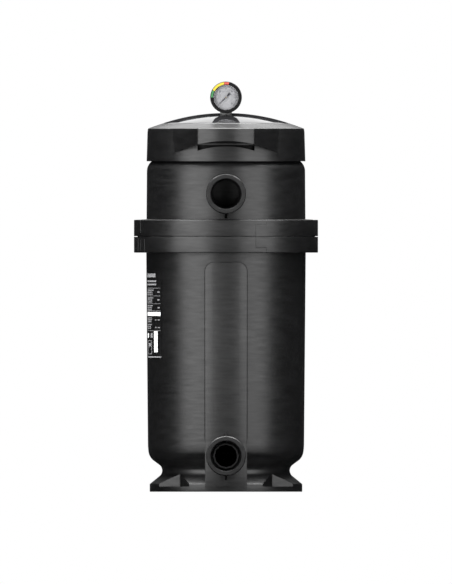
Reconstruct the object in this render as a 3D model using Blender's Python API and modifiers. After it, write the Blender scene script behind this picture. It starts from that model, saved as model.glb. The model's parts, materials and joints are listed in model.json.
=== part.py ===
"""Pool filter tank: a two-part moulded housing with a clamp band, a screw-down lid and a cartridge.

Units are metres and +Z is up. The origin is the middle of the underside of the foot, and the two
pipe ports face -Y. Azimuths are in degrees, measured from the front (-Y) towards +X.
"""
import math

import bmesh
import bpy
from mathutils import Vector

MM = 0.001
GAP = 0.4 * MM                      # clearance between pieces that touch
SEGMENTS = 40                       # facets around every large turned shape
PORT_SEGMENTS = 32
MERGE = 0.00005

# Housing
WALL = 8.5 * MM
FOOT_RADIUS = 152.5 * MM
FOOT_RIM_TOP = 16 * MM
FOOT_RECESS_RADIUS = 116 * MM
POCKET_FLOOR = 10.4 * MM
POCKET_APEX = 129 * MM
WAIST_RADIUS = 127.6 * MM
WAIST_Z = 42.5 * MM
LOWER_RADIUS_BOTTOM = 156 * MM
LOWER_RADIUS_TOP = 159.5 * MM
UPPER_RADIUS_BOTTOM = 159 * MM
UPPER_RADIUS_TOP = 158.2 * MM
INNER_RADIUS = 150 * MM
SHOULDER_Z = 641 * MM
SHOULDER_ROUND = 26 * MM
NECK_RADIUS = 145 * MM
NECK_BORE = 137.4 * MM
NECK_TOP = 713.7 * MM
FLOOR_Z = 30 * MM

# Flange joint and clamp band
PARTING_Z = 510.5 * MM
FLANGE_RADIUS = 168 * MM
BAND_RADIUS = 184 * MM
BAND_LOW = 478.2 * MM
BAND_HIGH = 543.8 * MM
BAND_GROOVE_DEPTH = 7 * MM
BAND_GROOVE_WIDTH = 1.2 * MM
LEVER_INNER = 174.2 * MM
LEVER_START = 26.0
LEVER_END = 107.0
TONGUE_START = 19.0
TONGUE_LOW = 487.8 * MM
TONGUE_HIGH = 534.6 * MM
LEVER_PIN_AZIMUTH = 113.0
LEVER_PIN_CIRCLE = 179.1 * MM
LEVER_PIN_RADIUS = 2.2 * MM
LINK_PIN_AZIMUTH = 105.0
LINK_PIN_CIRCLE = 176.9 * MM
LINK_PIN_RADIUS = 1.1 * MM

# Ports
PORT_RADIUS = 39.6 * MM
PORT_FACE_Y = -198 * MM
SOCKET_RADIUS = 30.15 * MM          # takes a 2 inch pipe
SOCKET_DEPTH = 38 * MM
PORT_BORE = 26.5 * MM
LOWER_PORT_Z = 71.6 * MM
UPPER_PORT_Z = 595.8 * MM

# Column on the front of the lower body
COLUMN_HALF_WIDTH = 42 * MM
COLUMN_TOP = 458.6 * MM
COLUMN_RADIUS = 162 * MM
COLUMN_CORNER = 18 * MM

# Lid and lock ring
LID_RADIUS = 125.6 * MM
LID_EDGE_Z = 736.9 * MM
DOME_RADIUS = 396 * MM
DOME_APEX_Z = 757.5 * MM
SEAT_Z = 754.4 * MM                 # flat face under the gauge fitting
SEAT_RADIUS = 15.4 * MM
RING_BORE = 146.2 * MM
RING_BOTTOM = 660.9 * MM
RING_LIP_UNDERSIDE = 724 * MM
LOBE_FRONT = 205 * MM
LOBE_CORNER_Y = 190 * MM
LOBE_CORNER_X = 57 * MM
LOBE_ROOT_X = 104 * MM
LOBE_ROOT_Y = 118 * MM
LOBE_WALL = 5.5 * MM
LOBE_TOP = 726.4 * MM
ARCH_TOP = 701.6 * MM
ARCH_RADIUS = 235 * MM

# Gauge and air relief valve, in front of and behind the middle of the lid
GAUGE_STEM_Y = -40 * MM
GAUGE_Z = 788.8 * MM
GAUGE_CASE_RADIUS = 28.5 * MM
GAUGE_BACK_Y = GAUGE_STEM_Y + 6 * MM
GAUGE_DEPTH = 26 * MM
GAUGE_FRONT_Y = GAUGE_BACK_Y - GAUGE_DEPTH
DIAL_Y = GAUGE_FRONT_Y + 4 * MM
NEEDLE_Y = DIAL_Y - 2.4 * MM
BEZEL_RADIUS = 31.75 * MM
DIAL_WINDOW = 24.9 * MM
RELIEF_Y = 70 * MM

# Drain
DRAIN_Z = 58 * MM
DRAIN_FACE_Y = 160 * MM

# Cartridge and outlet
CARTRIDGE_RADIUS = 114 * MM
CARTRIDGE_LOW = 118.4 * MM
CARTRIDGE_HIGH = 632 * MM
CAP_THICKNESS = 12 * MM
PLEATS = 40
PIPE_RADIUS = 25.6 * MM
PIPE_BORE = 22.5 * MM
ELBOW_BEND = 46 * MM

BLACK = (0.012, 0.012, 0.014, 1.0)
DARK = (0.03, 0.03, 0.034, 1.0)
WHITE = (0.78, 0.79, 0.8, 1.0)
GREY = (0.35, 0.36, 0.37, 1.0)
STEEL = (0.55, 0.56, 0.58, 1.0)
BRASS = (0.62, 0.47, 0.2, 1.0)


def clear_scene():
    for obj in list(bpy.data.objects):
        bpy.data.objects.remove(obj, do_unlink=True)


def new_collection(name):
    collection = bpy.data.collections.new(name)
    bpy.context.scene.collection.children.link(collection)
    return collection


clear_scene()
PARTS = new_collection("pool_filter_tank")
CUTTERS = new_collection("cutters")


def material(name, colour, roughness, metallic=0.0):
    mat = bpy.data.materials.new(name)
    mat.use_nodes = True
    shader = mat.node_tree.nodes["Principled BSDF"]
    shader.inputs["Base Color"].default_value = colour
    shader.inputs["Roughness"].default_value = roughness
    shader.inputs["Metallic"].default_value = metallic
    return mat


def add_object(name, mesh, mat):
    """Put a mesh in the scene as a part, or as a hidden helper where it has no material."""
    obj = bpy.data.objects.new(name, mesh)
    if mat is None:
        CUTTERS.objects.link(obj)
        obj.hide_render = True
        obj.display_type = "WIRE"
    else:
        PARTS.objects.link(obj)
        mesh.materials.append(material(name + "_finish", *mat))
    return obj


def mesh_from(name, build):
    """Make a mesh from a function that fills a bmesh."""
    mesh = bpy.data.meshes.new(name)
    bm = bmesh.new()
    build(bm)
    bm.to_mesh(mesh)
    bm.free()
    return mesh


def shade_smooth(mesh, angle=35.0):
    mesh.shade_smooth()
    mesh.set_sharp_from_angle(angle=math.radians(angle))


def turned(name, profile, mat=None, segments=SEGMENTS, closed=True):
    """Turn a profile of (radius, height) points, given outer side downwards, about local Z."""
    mesh = bpy.data.meshes.new(name)
    points = [(radius, 0.0, height) for radius, height in profile]
    edges = [(i, i + 1) for i in range(len(points) - 1)]
    if closed:
        edges.append((len(points) - 1, 0))
    mesh.from_pydata(points, edges, [])
    obj = add_object(name, mesh, mat)
    screw = obj.modifiers.new("Turn", "SCREW")
    screw.axis = "Z"
    screw.steps = segments
    screw.render_steps = segments
    screw.use_merge_vertices = True
    screw.merge_threshold = MERGE
    screw.use_smooth_shade = True
    return obj


def solid_turned(name, profile, mat=None, segments=SEGMENTS):
    """Turn an open profile that starts and ends on the axis."""
    return turned(name, profile, mat, segments, closed=False)


def disc(name, radius, low, high, mat=None, segments=32):
    """A plain cylinder along local Z."""
    def build(bm):
        made = bmesh.ops.create_cone(bm, cap_ends=True, segments=segments, radius1=radius,
                                     radius2=radius, depth=high - low)
        bmesh.ops.translate(bm, verts=made["verts"], vec=(0, 0, (low + high) / 2))
    mesh = mesh_from(name, build)
    shade_smooth(mesh)
    return add_object(name, mesh, mat)


def box(name, low, high, mat=None):
    def build(bm):
        made = bmesh.ops.create_cube(bm, size=1.0)
        size = Vector(high) - Vector(low)
        middle = (Vector(high) + Vector(low)) / 2
        bmesh.ops.scale(bm, verts=made["verts"], vec=size)
        bmesh.ops.translate(bm, verts=made["verts"], vec=middle)
    return add_object(name, mesh_from(name, build), mat)


def as_mesh(curve_object, name, mat=None):
    """Turn a curve object into a welded mesh object in the same place."""
    bpy.context.view_layer.update()
    depsgraph = bpy.context.evaluated_depsgraph_get()
    mesh = bpy.data.meshes.new_from_object(curve_object.evaluated_get(depsgraph))
    bm = bmesh.new()
    bm.from_mesh(mesh)
    bmesh.ops.remove_doubles(bm, verts=bm.verts, dist=MERGE)
    bmesh.ops.recalc_face_normals(bm, faces=bm.faces)
    bm.to_mesh(mesh)
    bm.free()
    mesh.materials.clear()
    placed = curve_object.matrix_world.copy()
    bpy.data.objects.remove(curve_object, do_unlink=True)
    obj = add_object(name, mesh, mat)
    obj.matrix_world = placed
    shade_smooth(mesh)
    return obj


def prism(name, outlines, low, high, mat=None, along="Z"):
    """Extrude flat outlines along an axis, from low to high. A second outline is a hole."""
    curve = bpy.data.curves.new(name, "CURVE")
    curve.dimensions = "2D"
    curve.fill_mode = "BOTH"
    curve.extrude = (high - low) / 2
    for outline in outlines:
        spline = curve.splines.new("POLY")
        spline.points.add(len(outline) - 1)
        for point, (u, v) in zip(spline.points, outline):
            point.co = (u, v, 0, 1)
        spline.use_cyclic_u = True
    obj = bpy.data.objects.new(name, curve)
    PARTS.objects.link(obj)
    middle = (low + high) / 2
    if along == "Z":
        obj.location = (0, 0, middle)
    elif along == "Y":
        obj.location = (0, middle, 0)
        obj.rotation_euler = (math.radians(90), 0, 0)
    else:
        obj.location = (middle, 0, 0)
        obj.rotation_euler = (math.radians(90), 0, math.radians(90))
    return as_mesh(obj, name, mat)


def tube(name, points, radius, mat=None, resolution=6):
    """A round bar along a chain of points, with filled ends."""
    curve = bpy.data.curves.new(name, "CURVE")
    curve.dimensions = "3D"
    curve.bevel_depth = radius
    curve.bevel_resolution = resolution
    curve.use_fill_caps = True
    spline = curve.splines.new("POLY")
    spline.points.add(len(points) - 1)
    for point, place in zip(spline.points, points):
        point.co = (*place, 1)
    obj = bpy.data.objects.new(name, curve)
    PARTS.objects.link(obj)
    return as_mesh(obj, name, mat)


def cut(target, *cutters):
    for cutter in cutters:
        modifier = target.modifiers.new("Cut " + cutter.name, "BOOLEAN")
        modifier.operation = "DIFFERENCE"
        modifier.object = cutter


def join(target, *others):
    for other in others:
        modifier = target.modifiers.new("Join " + other.name, "BOOLEAN")
        modifier.operation = "UNION"
        modifier.object = other


def tidy_edges(target):
    """Weld the slivers that a chain of Booleans can leave."""
    weld = target.modifiers.new("Tidy", "WELD")
    weld.merge_threshold = 0.00003


def keep_inside(target, other):
    modifier = target.modifiers.new("Keep inside " + other.name, "BOOLEAN")
    modifier.operation = "INTERSECT"
    modifier.object = other


def set_origin(obj, point):
    """Move an object's origin to a world point without moving its shape."""
    shift = Vector(point) - obj.location
    local = obj.rotation_euler.to_matrix().inverted() @ shift
    for vertex in obj.data.vertices:
        vertex.co -= local
    obj.location = Vector(point)


def arc(centre, radius, start, end, steps):
    """Points on an arc in the profile plane, angles in degrees from outwards towards up."""
    points = []
    for i in range(steps + 1):
        angle = math.radians(start + (end - start) * i / steps)
        points.append((centre[0] + radius * math.cos(angle), centre[1] + radius * math.sin(angle)))
    return points


def circle(radius, count, centre=(0.0, 0.0)):
    return arc(centre, radius, 0, 360 * (count - 1) / count, count - 1)


def around(radius, azimuth):
    """The plan position at a radius and an azimuth."""
    angle = math.radians(azimuth)
    return (radius * math.sin(angle), -radius * math.cos(angle))


def sector(inner, outer, start, end, step=4.0):
    """Plan outline of part of a ring."""
    count = max(2, math.ceil((end - start) / step))
    angles = [start + (end - start) * i / count for i in range(count + 1)]
    return [around(outer, a) for a in angles] + [around(inner, a) for a in reversed(angles)]


def facing_front(obj, y, z):
    """Point an object's local Z to the front, with its origin at a point on the centre plane."""
    obj.rotation_euler = (math.radians(90), 0, 0)
    obj.location = (0, y, z)
    return obj


def o_ring(name, radius, thickness, z, segments=SEGMENTS):
    """A seal with a six-sided section."""
    section = arc((radius, z), thickness / 2, 150, -150, 5)
    return turned(name, section, (DARK, 0.5), segments)


# ---------------------------------------------------------------- housing

def lower_body_profile():
    """Inner floor, up the inner wall, over the flange, down the outside and under the foot."""
    slope = 49
    bulge = arc((126 * MM, 86 * MM), 30 * MM, 0, -slope, 4)
    waist_centre = (WAIST_RADIUS + 14.2 * MM, WAIST_Z)
    waist = arc(waist_centre, 14.2 * MM, 180 - slope, 180 + slope, 4)
    seal_floor = PARTING_Z - 3.6 * MM
    face = PARTING_Z - 0.3 * MM
    inside = [(0, FLOOR_Z), (96 * MM, FLOOR_Z)]
    inside += arc((96 * MM, 54 * MM), 24 * MM, -75, -10, 2)
    inside += arc((112 * MM, 96 * MM), 35.5 * MM, -49, 0, 3)
    inside += [(INNER_RADIUS, 200 * MM), (INNER_RADIUS, face)]
    flange = [(155 * MM, face), (155 * MM, seal_floor), (160 * MM, seal_floor), (160 * MM, face),
              (FLANGE_RADIUS, face), (FLANGE_RADIUS, 492.5 * MM), (LOWER_RADIUS_TOP, 490.5 * MM)]
    outside = [(LOWER_RADIUS_TOP, 478 * MM), (LOWER_RADIUS_BOTTOM + 0.3 * MM, 110 * MM)]
    outside += bulge + waist
    outside += [(151.6 * MM, FOOT_RIM_TOP), (FOOT_RADIUS, FOOT_RIM_TOP - 0.8 * MM),
                (FOOT_RADIUS, 0.8 * MM), (FOOT_RADIUS - 0.8 * MM, 0)]
    under = [(FOOT_RECESS_RADIUS, 0), (FOOT_RECESS_RADIUS - 2 * MM, 14 * MM), (0, 18 * MM)]
    return inside + flange + outside + under


def column():
    """The raised strip down the front, which becomes a pier in front of the waist."""
    right = COLUMN_HALF_WIDTH - COLUMN_CORNER
    crown = COLUMN_TOP - COLUMN_CORNER
    outline = [(-COLUMN_HALF_WIDTH, 0), (COLUMN_HALF_WIDTH, 0)]
    outline += arc((right, crown), COLUMN_CORNER, 0, 90, 6)
    outline += arc((-right, crown), COLUMN_CORNER, 90, 180, 6)
    strip = prism("column_strip", [outline], -175 * MM, -120 * MM, along="Y")
    keep_inside(strip, disc("column_limit", COLUMN_RADIUS, -5 * MM, 470 * MM, segments=SEGMENTS * 2))
    cut(strip, disc("column_hollow", INNER_RADIUS + 3 * MM, 86 * MM, 475 * MM, segments=SEGMENTS))
    return strip


def port_boss(name, z, inner_y):
    """A round boss for a pipe socket, with a small chamfer around its face."""
    length = -(PORT_FACE_Y - inner_y)
    chamfer = 1.4 * MM
    profile = [(0, length), (PORT_RADIUS - chamfer, length), (PORT_RADIUS, length - chamfer),
               (PORT_RADIUS + 0.6 * MM, 0), (0, 0)]
    return facing_front(solid_turned(name, profile, segments=PORT_SEGMENTS), inner_y, z)


def port_bore(name, z, inner_y, seat_radius=PORT_BORE):
    """The socket with a lead-in, its stop, the smaller hole and a seat at its inner end."""
    total = inner_y - PORT_FACE_Y
    stop = total - SOCKET_DEPTH
    seat_depth = 5.4 * MM
    profile = [(0, total + 5 * MM), (SOCKET_RADIUS + 1 * MM, total + 5 * MM),
               (SOCKET_RADIUS + 1 * MM, total), (SOCKET_RADIUS, total - 1.5 * MM),
               (SOCKET_RADIUS, stop), (PORT_BORE, stop), (PORT_BORE, seat_depth)]
    if seat_radius > PORT_BORE:
        profile.append((seat_radius, seat_depth))
    profile += [(seat_radius, -8 * MM), (0, -8 * MM)]
    return facing_front(solid_turned(name, profile, segments=PORT_SEGMENTS), inner_y, z)


def rib(name, half_width, near, far):
    """A triangular gusset in the centre plane, from a near edge to a point farther up or down."""
    (front_y, edge_z), (back_y, tip_z) = near, far
    outline = [(front_y, edge_z), (back_y, edge_z), (back_y, tip_z)]
    return prism(name, [outline], -half_width, half_width, along="X")


def foot_pockets():
    """Four V-shaped pockets in the foot, with a bolt hole in each floor."""
    cutters = []
    reach = 26 * MM
    half_width = reach * 42.7 / 17.5
    for i in range(4):
        azimuth = 45 + 90 * i
        turn = math.radians(azimuth - 90)
        outline = [(POCKET_APEX, 0), (POCKET_APEX + reach, -half_width), (POCKET_APEX + reach, half_width)]
        pocket = prism("pocket_%d" % i, [outline], POCKET_FLOOR, 43 * MM)
        hole = disc("bolt_hole_%d" % i, 5 * MM, -5 * MM, 20 * MM, segments=12)
        for vertex in hole.data.vertices:
            vertex.co.x += 140.5 * MM
        pocket.rotation_euler.z = turn
        hole.rotation_euler.z = turn
        cutters += [pocket, hole]
    return cutters


def drain_boss():
    profile = [(0, 44 * MM), (20 * MM, 44 * MM), (21.5 * MM, 42 * MM), (22 * MM, 0), (0, 0)]
    boss = solid_turned("drain_boss", profile, segments=32)
    boss.rotation_euler = (math.radians(-90), 0, 0)
    boss.location = (0, DRAIN_FACE_Y - 44 * MM, DRAIN_Z)
    bore = disc("drain_bore", 12 * MM, -33 * MM, 61 * MM, segments=20)
    bore.rotation_euler = (math.radians(-90), 0, 0)
    bore.location = (0, DRAIN_FACE_Y - 44 * MM, DRAIN_Z)
    return boss, bore


def lower_body():
    body = solid_turned("lower_body", lower_body_profile(), (BLACK, 0.33))
    inner_y = -116 * MM
    join(body, column(), port_boss("lower_port_boss", LOWER_PORT_Z, inner_y))
    above = rib("lower_port_rib_above", 1.8 * MM, (-186 * MM, 110 * MM), (-160 * MM, 119.6 * MM))
    below = rib("lower_port_rib_below", 1.8 * MM, (-186 * MM, 33 * MM), (-160 * MM, 21.6 * MM))
    boss, bore = drain_boss()
    join(body, above, below, boss)
    cut(body, port_bore("lower_port_bore", LOWER_PORT_Z, inner_y, 30.8 * MM), bore, *foot_pockets())
    tidy_edges(body)
    return body


def inlet_deflector():
    """A plate that hangs from the wall behind the upper port and turns the inflow down the tank."""
    plate = [(-151.5 * MM, 640 * MM), (-151.5 * MM, 637 * MM), (-143.7 * MM, 637 * MM),
             (-119.2 * MM, 566 * MM), (-116.6 * MM, 566 * MM), (-142.1 * MM, 640 * MM)]
    return prism("inlet_deflector", [plate], -34 * MM, 34 * MM, along="X")


def upper_body():
    """The upper half: flange, wall, rounded shoulder and plain neck, with the inlet's deflector."""
    low = PARTING_Z + 0.3 * MM
    centre = (UPPER_RADIUS_TOP - SHOULDER_ROUND, SHOULDER_Z)
    shoulder = arc(centre, SHOULDER_ROUND, 60, 0, 6)
    inner_shoulder = arc(centre, SHOULDER_ROUND - WALL, 0, 72, 4)
    profile = [(NECK_BORE, NECK_TOP), (NECK_RADIUS - 1 * MM, NECK_TOP),
               (NECK_RADIUS, NECK_TOP - 1 * MM)]
    profile += shoulder
    profile += [(UPPER_RADIUS_BOTTOM, 531 * MM), (FLANGE_RADIUS, 528.7 * MM), (FLANGE_RADIUS, low),
                (INNER_RADIUS, low), (INNER_RADIUS, 600 * MM)]
    profile += inner_shoulder
    body = turned("upper_body", profile, (BLACK, 0.33))
    inner_y = -142 * MM
    join(body, port_boss("upper_port_boss", UPPER_PORT_Z, inner_y))
    join(body, rib("upper_port_rib", 2.9 * MM, (-186 * MM, 557.5 * MM), (-157 * MM, 546 * MM)))
    cut(body, port_bore("upper_port_bore", UPPER_PORT_Z, inner_y))
    join(body, inlet_deflector())
    return body


# ---------------------------------------------------------------- clamp band

def band_mark(name, azimuth, low, high):
    """A short raised index rib on the outside of the band."""
    mark = box(name, (BAND_RADIUS - 2 * MM, -1 * MM, low), (BAND_RADIUS + 0.9 * MM, 1 * MM, high))
    mark.rotation_euler.z = math.radians(azimuth - 90)
    return mark


def clamp_band():
    """A C-section ring around both flanges, recessed for its lever and split underneath it."""
    groove_high = PARTING_Z + BAND_GROOVE_WIDTH / 2
    groove_low = PARTING_Z - BAND_GROOVE_WIDTH / 2
    groove_floor = BAND_RADIUS - BAND_GROOVE_DEPTH
    edge = 1.0 * MM
    profile = [(160.2 * MM, BAND_HIGH + 1.2 * MM), (BAND_RADIUS - edge, BAND_HIGH),
               (BAND_RADIUS, BAND_HIGH - edge), (BAND_RADIUS, groove_high), (groove_floor, groove_high),
               (groove_floor, groove_low), (BAND_RADIUS, groove_low), (BAND_RADIUS, BAND_LOW + edge),
               (BAND_RADIUS - edge, BAND_LOW), (160.6 * MM, BAND_LOW), (160.6 * MM, 489.3 * MM),
               (FLANGE_RADIUS + 0.8 * MM, 491.4 * MM), (FLANGE_RADIUS + 0.8 * MM, 529.8 * MM),
               (160.2 * MM, 532 * MM)]
    band = turned("clamp_band", profile, (BLACK, 0.3))
    join(band, band_mark("mark_upper", -68, 517.5 * MM, 541 * MM))
    for i, azimuth in enumerate((-72.6, -68, -62.4)):
        join(band, band_mark("mark_lower_%d" % i, azimuth, 481.5 * MM, 505.5 * MM))
    floor = LEVER_INNER - GAP
    far = BAND_RADIUS + 6 * MM
    knuckle_low = 489.2 * MM
    knuckle_high = 533.2 * MM
    recess = prism("lever_recess", [sector(floor, far, LEVER_START - 0.15, LEVER_END + 0.4)],
                   BAND_LOW - 5 * MM, BAND_HIGH + 5 * MM)
    tongue = prism("tongue_recess", [sector(floor, far, TONGUE_START - 0.15, LEVER_START + 1)],
                   TONGUE_LOW - GAP, TONGUE_HIGH + GAP)
    knuckle = prism("knuckle_recess", [sector(floor - 0.2 * MM, far, LEVER_END - 1, 115.4)],
                    knuckle_low, knuckle_high)
    split = prism("band_split", [sector(150 * MM, far, 99.8, 101.2)], BAND_LOW - 5 * MM, BAND_HIGH + 5 * MM)
    toe_slot = prism("link_slot", [sector(160 * MM, far, 95.0, 98.6)], 499 * MM, 522 * MM)
    cut(band, recess, tongue, knuckle, split, toe_slot, pin_hole("band_pin_hole"))
    return band


def pin_hole(name):
    hole = disc(name, LEVER_PIN_RADIUS + GAP, BAND_LOW - 5 * MM, BAND_HIGH + 5 * MM, segments=16)
    x, y = around(LEVER_PIN_CIRCLE, LEVER_PIN_AZIMUTH)
    hole.location = (x, y, 0)
    return hole


def clamp_lever():
    """The curved lever that lies in the band's recess, with its groove, link pocket and knuckle."""
    outer = BAND_RADIUS
    body = sector(LEVER_INNER, outer, LEVER_START, LEVER_END)
    lever = prism("clamp_lever", [body], BAND_LOW, BAND_HIGH, (BLACK, 0.3))
    tongue = prism("lever_tongue", [sector(LEVER_INNER, outer, TONGUE_START, LEVER_START + 1)],
                   TONGUE_LOW, TONGUE_HIGH)
    x, y = around(LEVER_PIN_CIRCLE, LEVER_PIN_AZIMUTH)
    neck = prism("lever_neck", [sector(LEVER_INNER, outer, LEVER_END - 1, LEVER_PIN_AZIMUTH)],
                 489.6 * MM, 532.8 * MM)
    knuckle = disc("lever_knuckle", 4.9 * MM, 489.6 * MM, 532.8 * MM, segments=24)
    knuckle.location = (x, y, 0)
    join(lever, tongue, neck, knuckle)
    low = PARTING_Z - BAND_GROOVE_WIDTH / 2
    high = PARTING_Z + BAND_GROOVE_WIDTH / 2
    deep = prism("lever_groove", [sector(outer - BAND_GROOVE_DEPTH, outer + 5 * MM, 15, 92.5)], low, high)
    shallow = prism("lever_groove_end", [sector(outer - 1.5 * MM, outer + 5 * MM, 92, 120)], low, high)
    pocket = prism("link_pocket", [sector(170 * MM, 180.8 * MM, 93.8, 108.2)], 499 * MM, 522 * MM)
    link_hole = disc("lever_link_hole", LINK_PIN_RADIUS + GAP, 495.5 * MM, 525.5 * MM, segments=12)
    hx, hy = around(LINK_PIN_CIRCLE, LINK_PIN_AZIMUTH)
    link_hole.location = (hx, hy, 0)
    cut(lever, deep, shallow, pocket, link_hole, pin_hole("lever_pin_hole"))
    set_origin(lever, (x, y, 0))
    return lever


def clamp_link():
    """The hook that ties the lever to the free end of the band."""
    x, y = around(LINK_PIN_CIRCLE, LINK_PIN_AZIMUTH)
    link = prism("clamp_link", [sector(174.6 * MM, 179.2 * MM, 96.0, 105.8, 1.5)],
                 500.5 * MM, 520.5 * MM, (STEEL, 0.3, 1.0))
    toe = prism("link_toe", [sector(170.5 * MM, 176 * MM, 96.0, 97.3)], 500.5 * MM, 520.5 * MM)
    join(link, toe)
    hole = disc("link_hole", LINK_PIN_RADIUS + GAP, 490 * MM, 530 * MM, segments=12)
    hole.location = (x, y, 0)
    cut(link, hole)
    set_origin(link, (x, y, 0))


def pins():
    x, y = around(LEVER_PIN_CIRCLE, LEVER_PIN_AZIMUTH)
    pin = disc("lever_pin", LEVER_PIN_RADIUS, BAND_LOW + 0.8 * MM, BAND_HIGH - 0.8 * MM,
               (STEEL, 0.25, 1.0), 16)
    pin.location = (x, y, 0)
    x, y = around(LINK_PIN_CIRCLE, LINK_PIN_AZIMUTH)
    pin = disc("link_pin", LINK_PIN_RADIUS, 496 * MM, 525 * MM, (STEEL, 0.25, 1.0), 12)
    pin.location = (x, y, 0)


# ---------------------------------------------------------------- lid and lock ring

def dome_points(radius, apex, inner, outer, steps):
    """Points on the dome, from an inner to an outer distance from the axis."""
    centre = apex - radius
    points = []
    for i in range(steps + 1):
        r = inner + (outer - inner) * i / steps
        points.append((r, centre + math.sqrt(radius * radius - r * r)))
    return points


def lid():
    """The domed lid, with a seat for the gauge, a boss for the relief valve and a sealing spigot."""
    profile = dome_points(DOME_RADIUS, DOME_APEX_Z, 0, LID_RADIUS, 5)
    profile += [(LID_RADIUS, 721.6 * MM), (143.2 * MM, 721.6 * MM), (143.2 * MM, 714.1 * MM),
                (136.4 * MM, 714.1 * MM), (136.4 * MM, 711.4 * MM), (132.2 * MM, 711.4 * MM),
                (132.2 * MM, 706.2 * MM), (136.4 * MM, 706.2 * MM), (136 * MM, 702 * MM),
                (128 * MM, 702 * MM), (118 * MM, 722 * MM)]
    under = dome_points(DOME_RADIUS - WALL, DOME_APEX_Z - WALL, 0, 112 * MM, 2)
    profile += list(reversed(under))
    top = solid_turned("lid", profile, (BLACK, 0.12))
    gauge_boss = disc("gauge_boss", SEAT_RADIUS, 744 * MM, SEAT_Z)
    spot_face = disc("gauge_spot_face", SEAT_RADIUS, SEAT_Z, 770 * MM)
    gauge_hole = disc("gauge_hole", 8.3 * MM, 730 * MM, 770 * MM, segments=24)
    boss = disc("relief_boss", 11 * MM, 744 * MM, 754.5 * MM, segments=24)
    valve_hole = disc("relief_hole", 5.4 * MM, 730 * MM, 770 * MM, segments=16)
    for piece in (gauge_boss, spot_face, gauge_hole):
        piece.location.y = GAUGE_STEM_Y
    for piece in (boss, valve_hole):
        piece.location.y = RELIEF_Y
    join(top, gauge_boss, boss)
    cut(top, spot_face, gauge_hole, valve_hole)
    return top


def meet_radius(point, direction, radius):
    """The place nearest to a point where a plan line through it meets a circle about the axis."""
    middle = point.dot(direction)
    spread = math.sqrt(middle * middle - point.length_squared + radius * radius)
    travel = min((-middle - spread, -middle + spread), key=abs)
    return point + direction * travel


def lobe_outline(inset, back_radius):
    """Plan outline of the front grip, moved inwards by inset and closed along a back arc."""
    corner_round = 9 * MM
    front = (LOBE_CORNER_X ** 2 + (LOBE_FRONT - LOBE_CORNER_Y) ** 2) / (2 * (LOBE_FRONT - LOBE_CORNER_Y))
    front_centre = -(LOBE_FRONT - front)
    reach = front - inset
    half = math.degrees(math.asin((LOBE_CORNER_X - inset * 0.5 - corner_round * 0.6) / reach))
    points = []
    for i in range(9):
        angle = math.radians(-half + 2 * half * i / 8)
        points.append((reach * math.sin(angle), front_centre - reach * math.cos(angle)))
    flank = Vector((LOBE_CORNER_X - LOBE_ROOT_X, -(LOBE_CORNER_Y - LOBE_ROOT_Y))).normalized()
    inward = Vector((flank.y, -flank.x)) * inset
    corner = Vector((LOBE_CORNER_X, -LOBE_CORNER_Y)) + inward
    shoulder = corner - flank * corner_round
    soft = (Vector(points[-1]) + 2 * corner + shoulder) / 4
    root = meet_radius(Vector((LOBE_ROOT_X, -LOBE_ROOT_Y)) + inward, flank, back_radius)
    right = [tuple(soft), tuple(shoulder), tuple(root)]
    left = [(-x, y) for x, y in reversed(right)]
    start = math.degrees(math.atan2(root.x, -root.y))
    back = [around(back_radius, start - 2 * start * i / 16) for i in range(1, 16)]
    return left + points + right + back


def grip_lobe(name, turn):
    """One hollow hand grip, open underneath, with an arched lower edge."""
    lobe = prism(name, [lobe_outline(0, 153 * MM)], 655 * MM, LOBE_TOP)
    edge = lobe.modifiers.new("Edge", "BEVEL")
    edge.width = 1.6 * MM
    edge.segments = 2
    edge.angle_limit = math.radians(50)
    arch = disc(name + "_arch", ARCH_RADIUS, -120 * MM, 260 * MM, segments=120)
    arch.rotation_euler = (math.radians(90), 0, 0)
    arch.location = (0, 0, ARCH_TOP - ARCH_RADIUS)
    hollow = prism(name + "_hollow", [lobe_outline(LOBE_WALL, 159.4 * MM)], 600 * MM, LOBE_TOP - 7 * MM)
    cut(lobe, arch, hollow)
    for piece in (lobe, hollow):
        piece.rotation_euler.z = math.radians(turn)
    arch.rotation_euler = (math.radians(90), 0, math.radians(turn))
    return lobe


def finger_window(name, turn):
    """The recess in the ring behind a grip, with a bowed lower edge."""
    bow = 190 * MM
    half = 57 * MM
    low_centre = 693.4 * MM
    angle = math.degrees(math.asin(half / bow))
    outline = arc((0, low_centre - bow), bow, 90 + angle, 90 - angle, 8)
    outline += [(half, 714 * MM), (-half, 714 * MM)]
    window = prism(name, [outline], -175 * MM, -100 * MM, along="Y")
    cut(window, disc(name + "_back", 151.2 * MM, 650 * MM, 730 * MM, segments=SEGMENTS))
    if turn:
        window.location.y = -window.location.y
        window.rotation_euler = (math.radians(90), 0, math.radians(180))
    return window


def lock_ring():
    """The threaded ring that holds the lid down, with a grip at the front and at the back."""
    profile = [(LID_RADIUS + 0.9 * MM, LID_EDGE_Z), (152 * MM, 728 * MM), (155.4 * MM, 726.2 * MM),
               (156.9 * MM, 722.5 * MM), (158.7 * MM, RING_BOTTOM + 1 * MM),
               (157.7 * MM, RING_BOTTOM), (150.6 * MM, RING_BOTTOM), (RING_BORE, 667 * MM),
               (RING_BORE, RING_LIP_UNDERSIDE), (LID_RADIUS + 0.9 * MM, RING_LIP_UNDERSIDE)]
    ring = turned("lock_ring", profile, (BLACK, 0.28))
    join(ring, grip_lobe("grip_front", 0), grip_lobe("grip_rear", 180))
    cut(ring, finger_window("window_front", 0), finger_window("window_rear", 180))
    return ring


def slip_ring():
    low, high = 722 * MM, 723.6 * MM
    profile = [(127.4 * MM, high), (143 * MM, high), (143 * MM, low), (127.4 * MM, low)]
    turned("slip_ring", profile, (WHITE, 0.35))


# ---------------------------------------------------------------- gauge and relief valve

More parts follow.
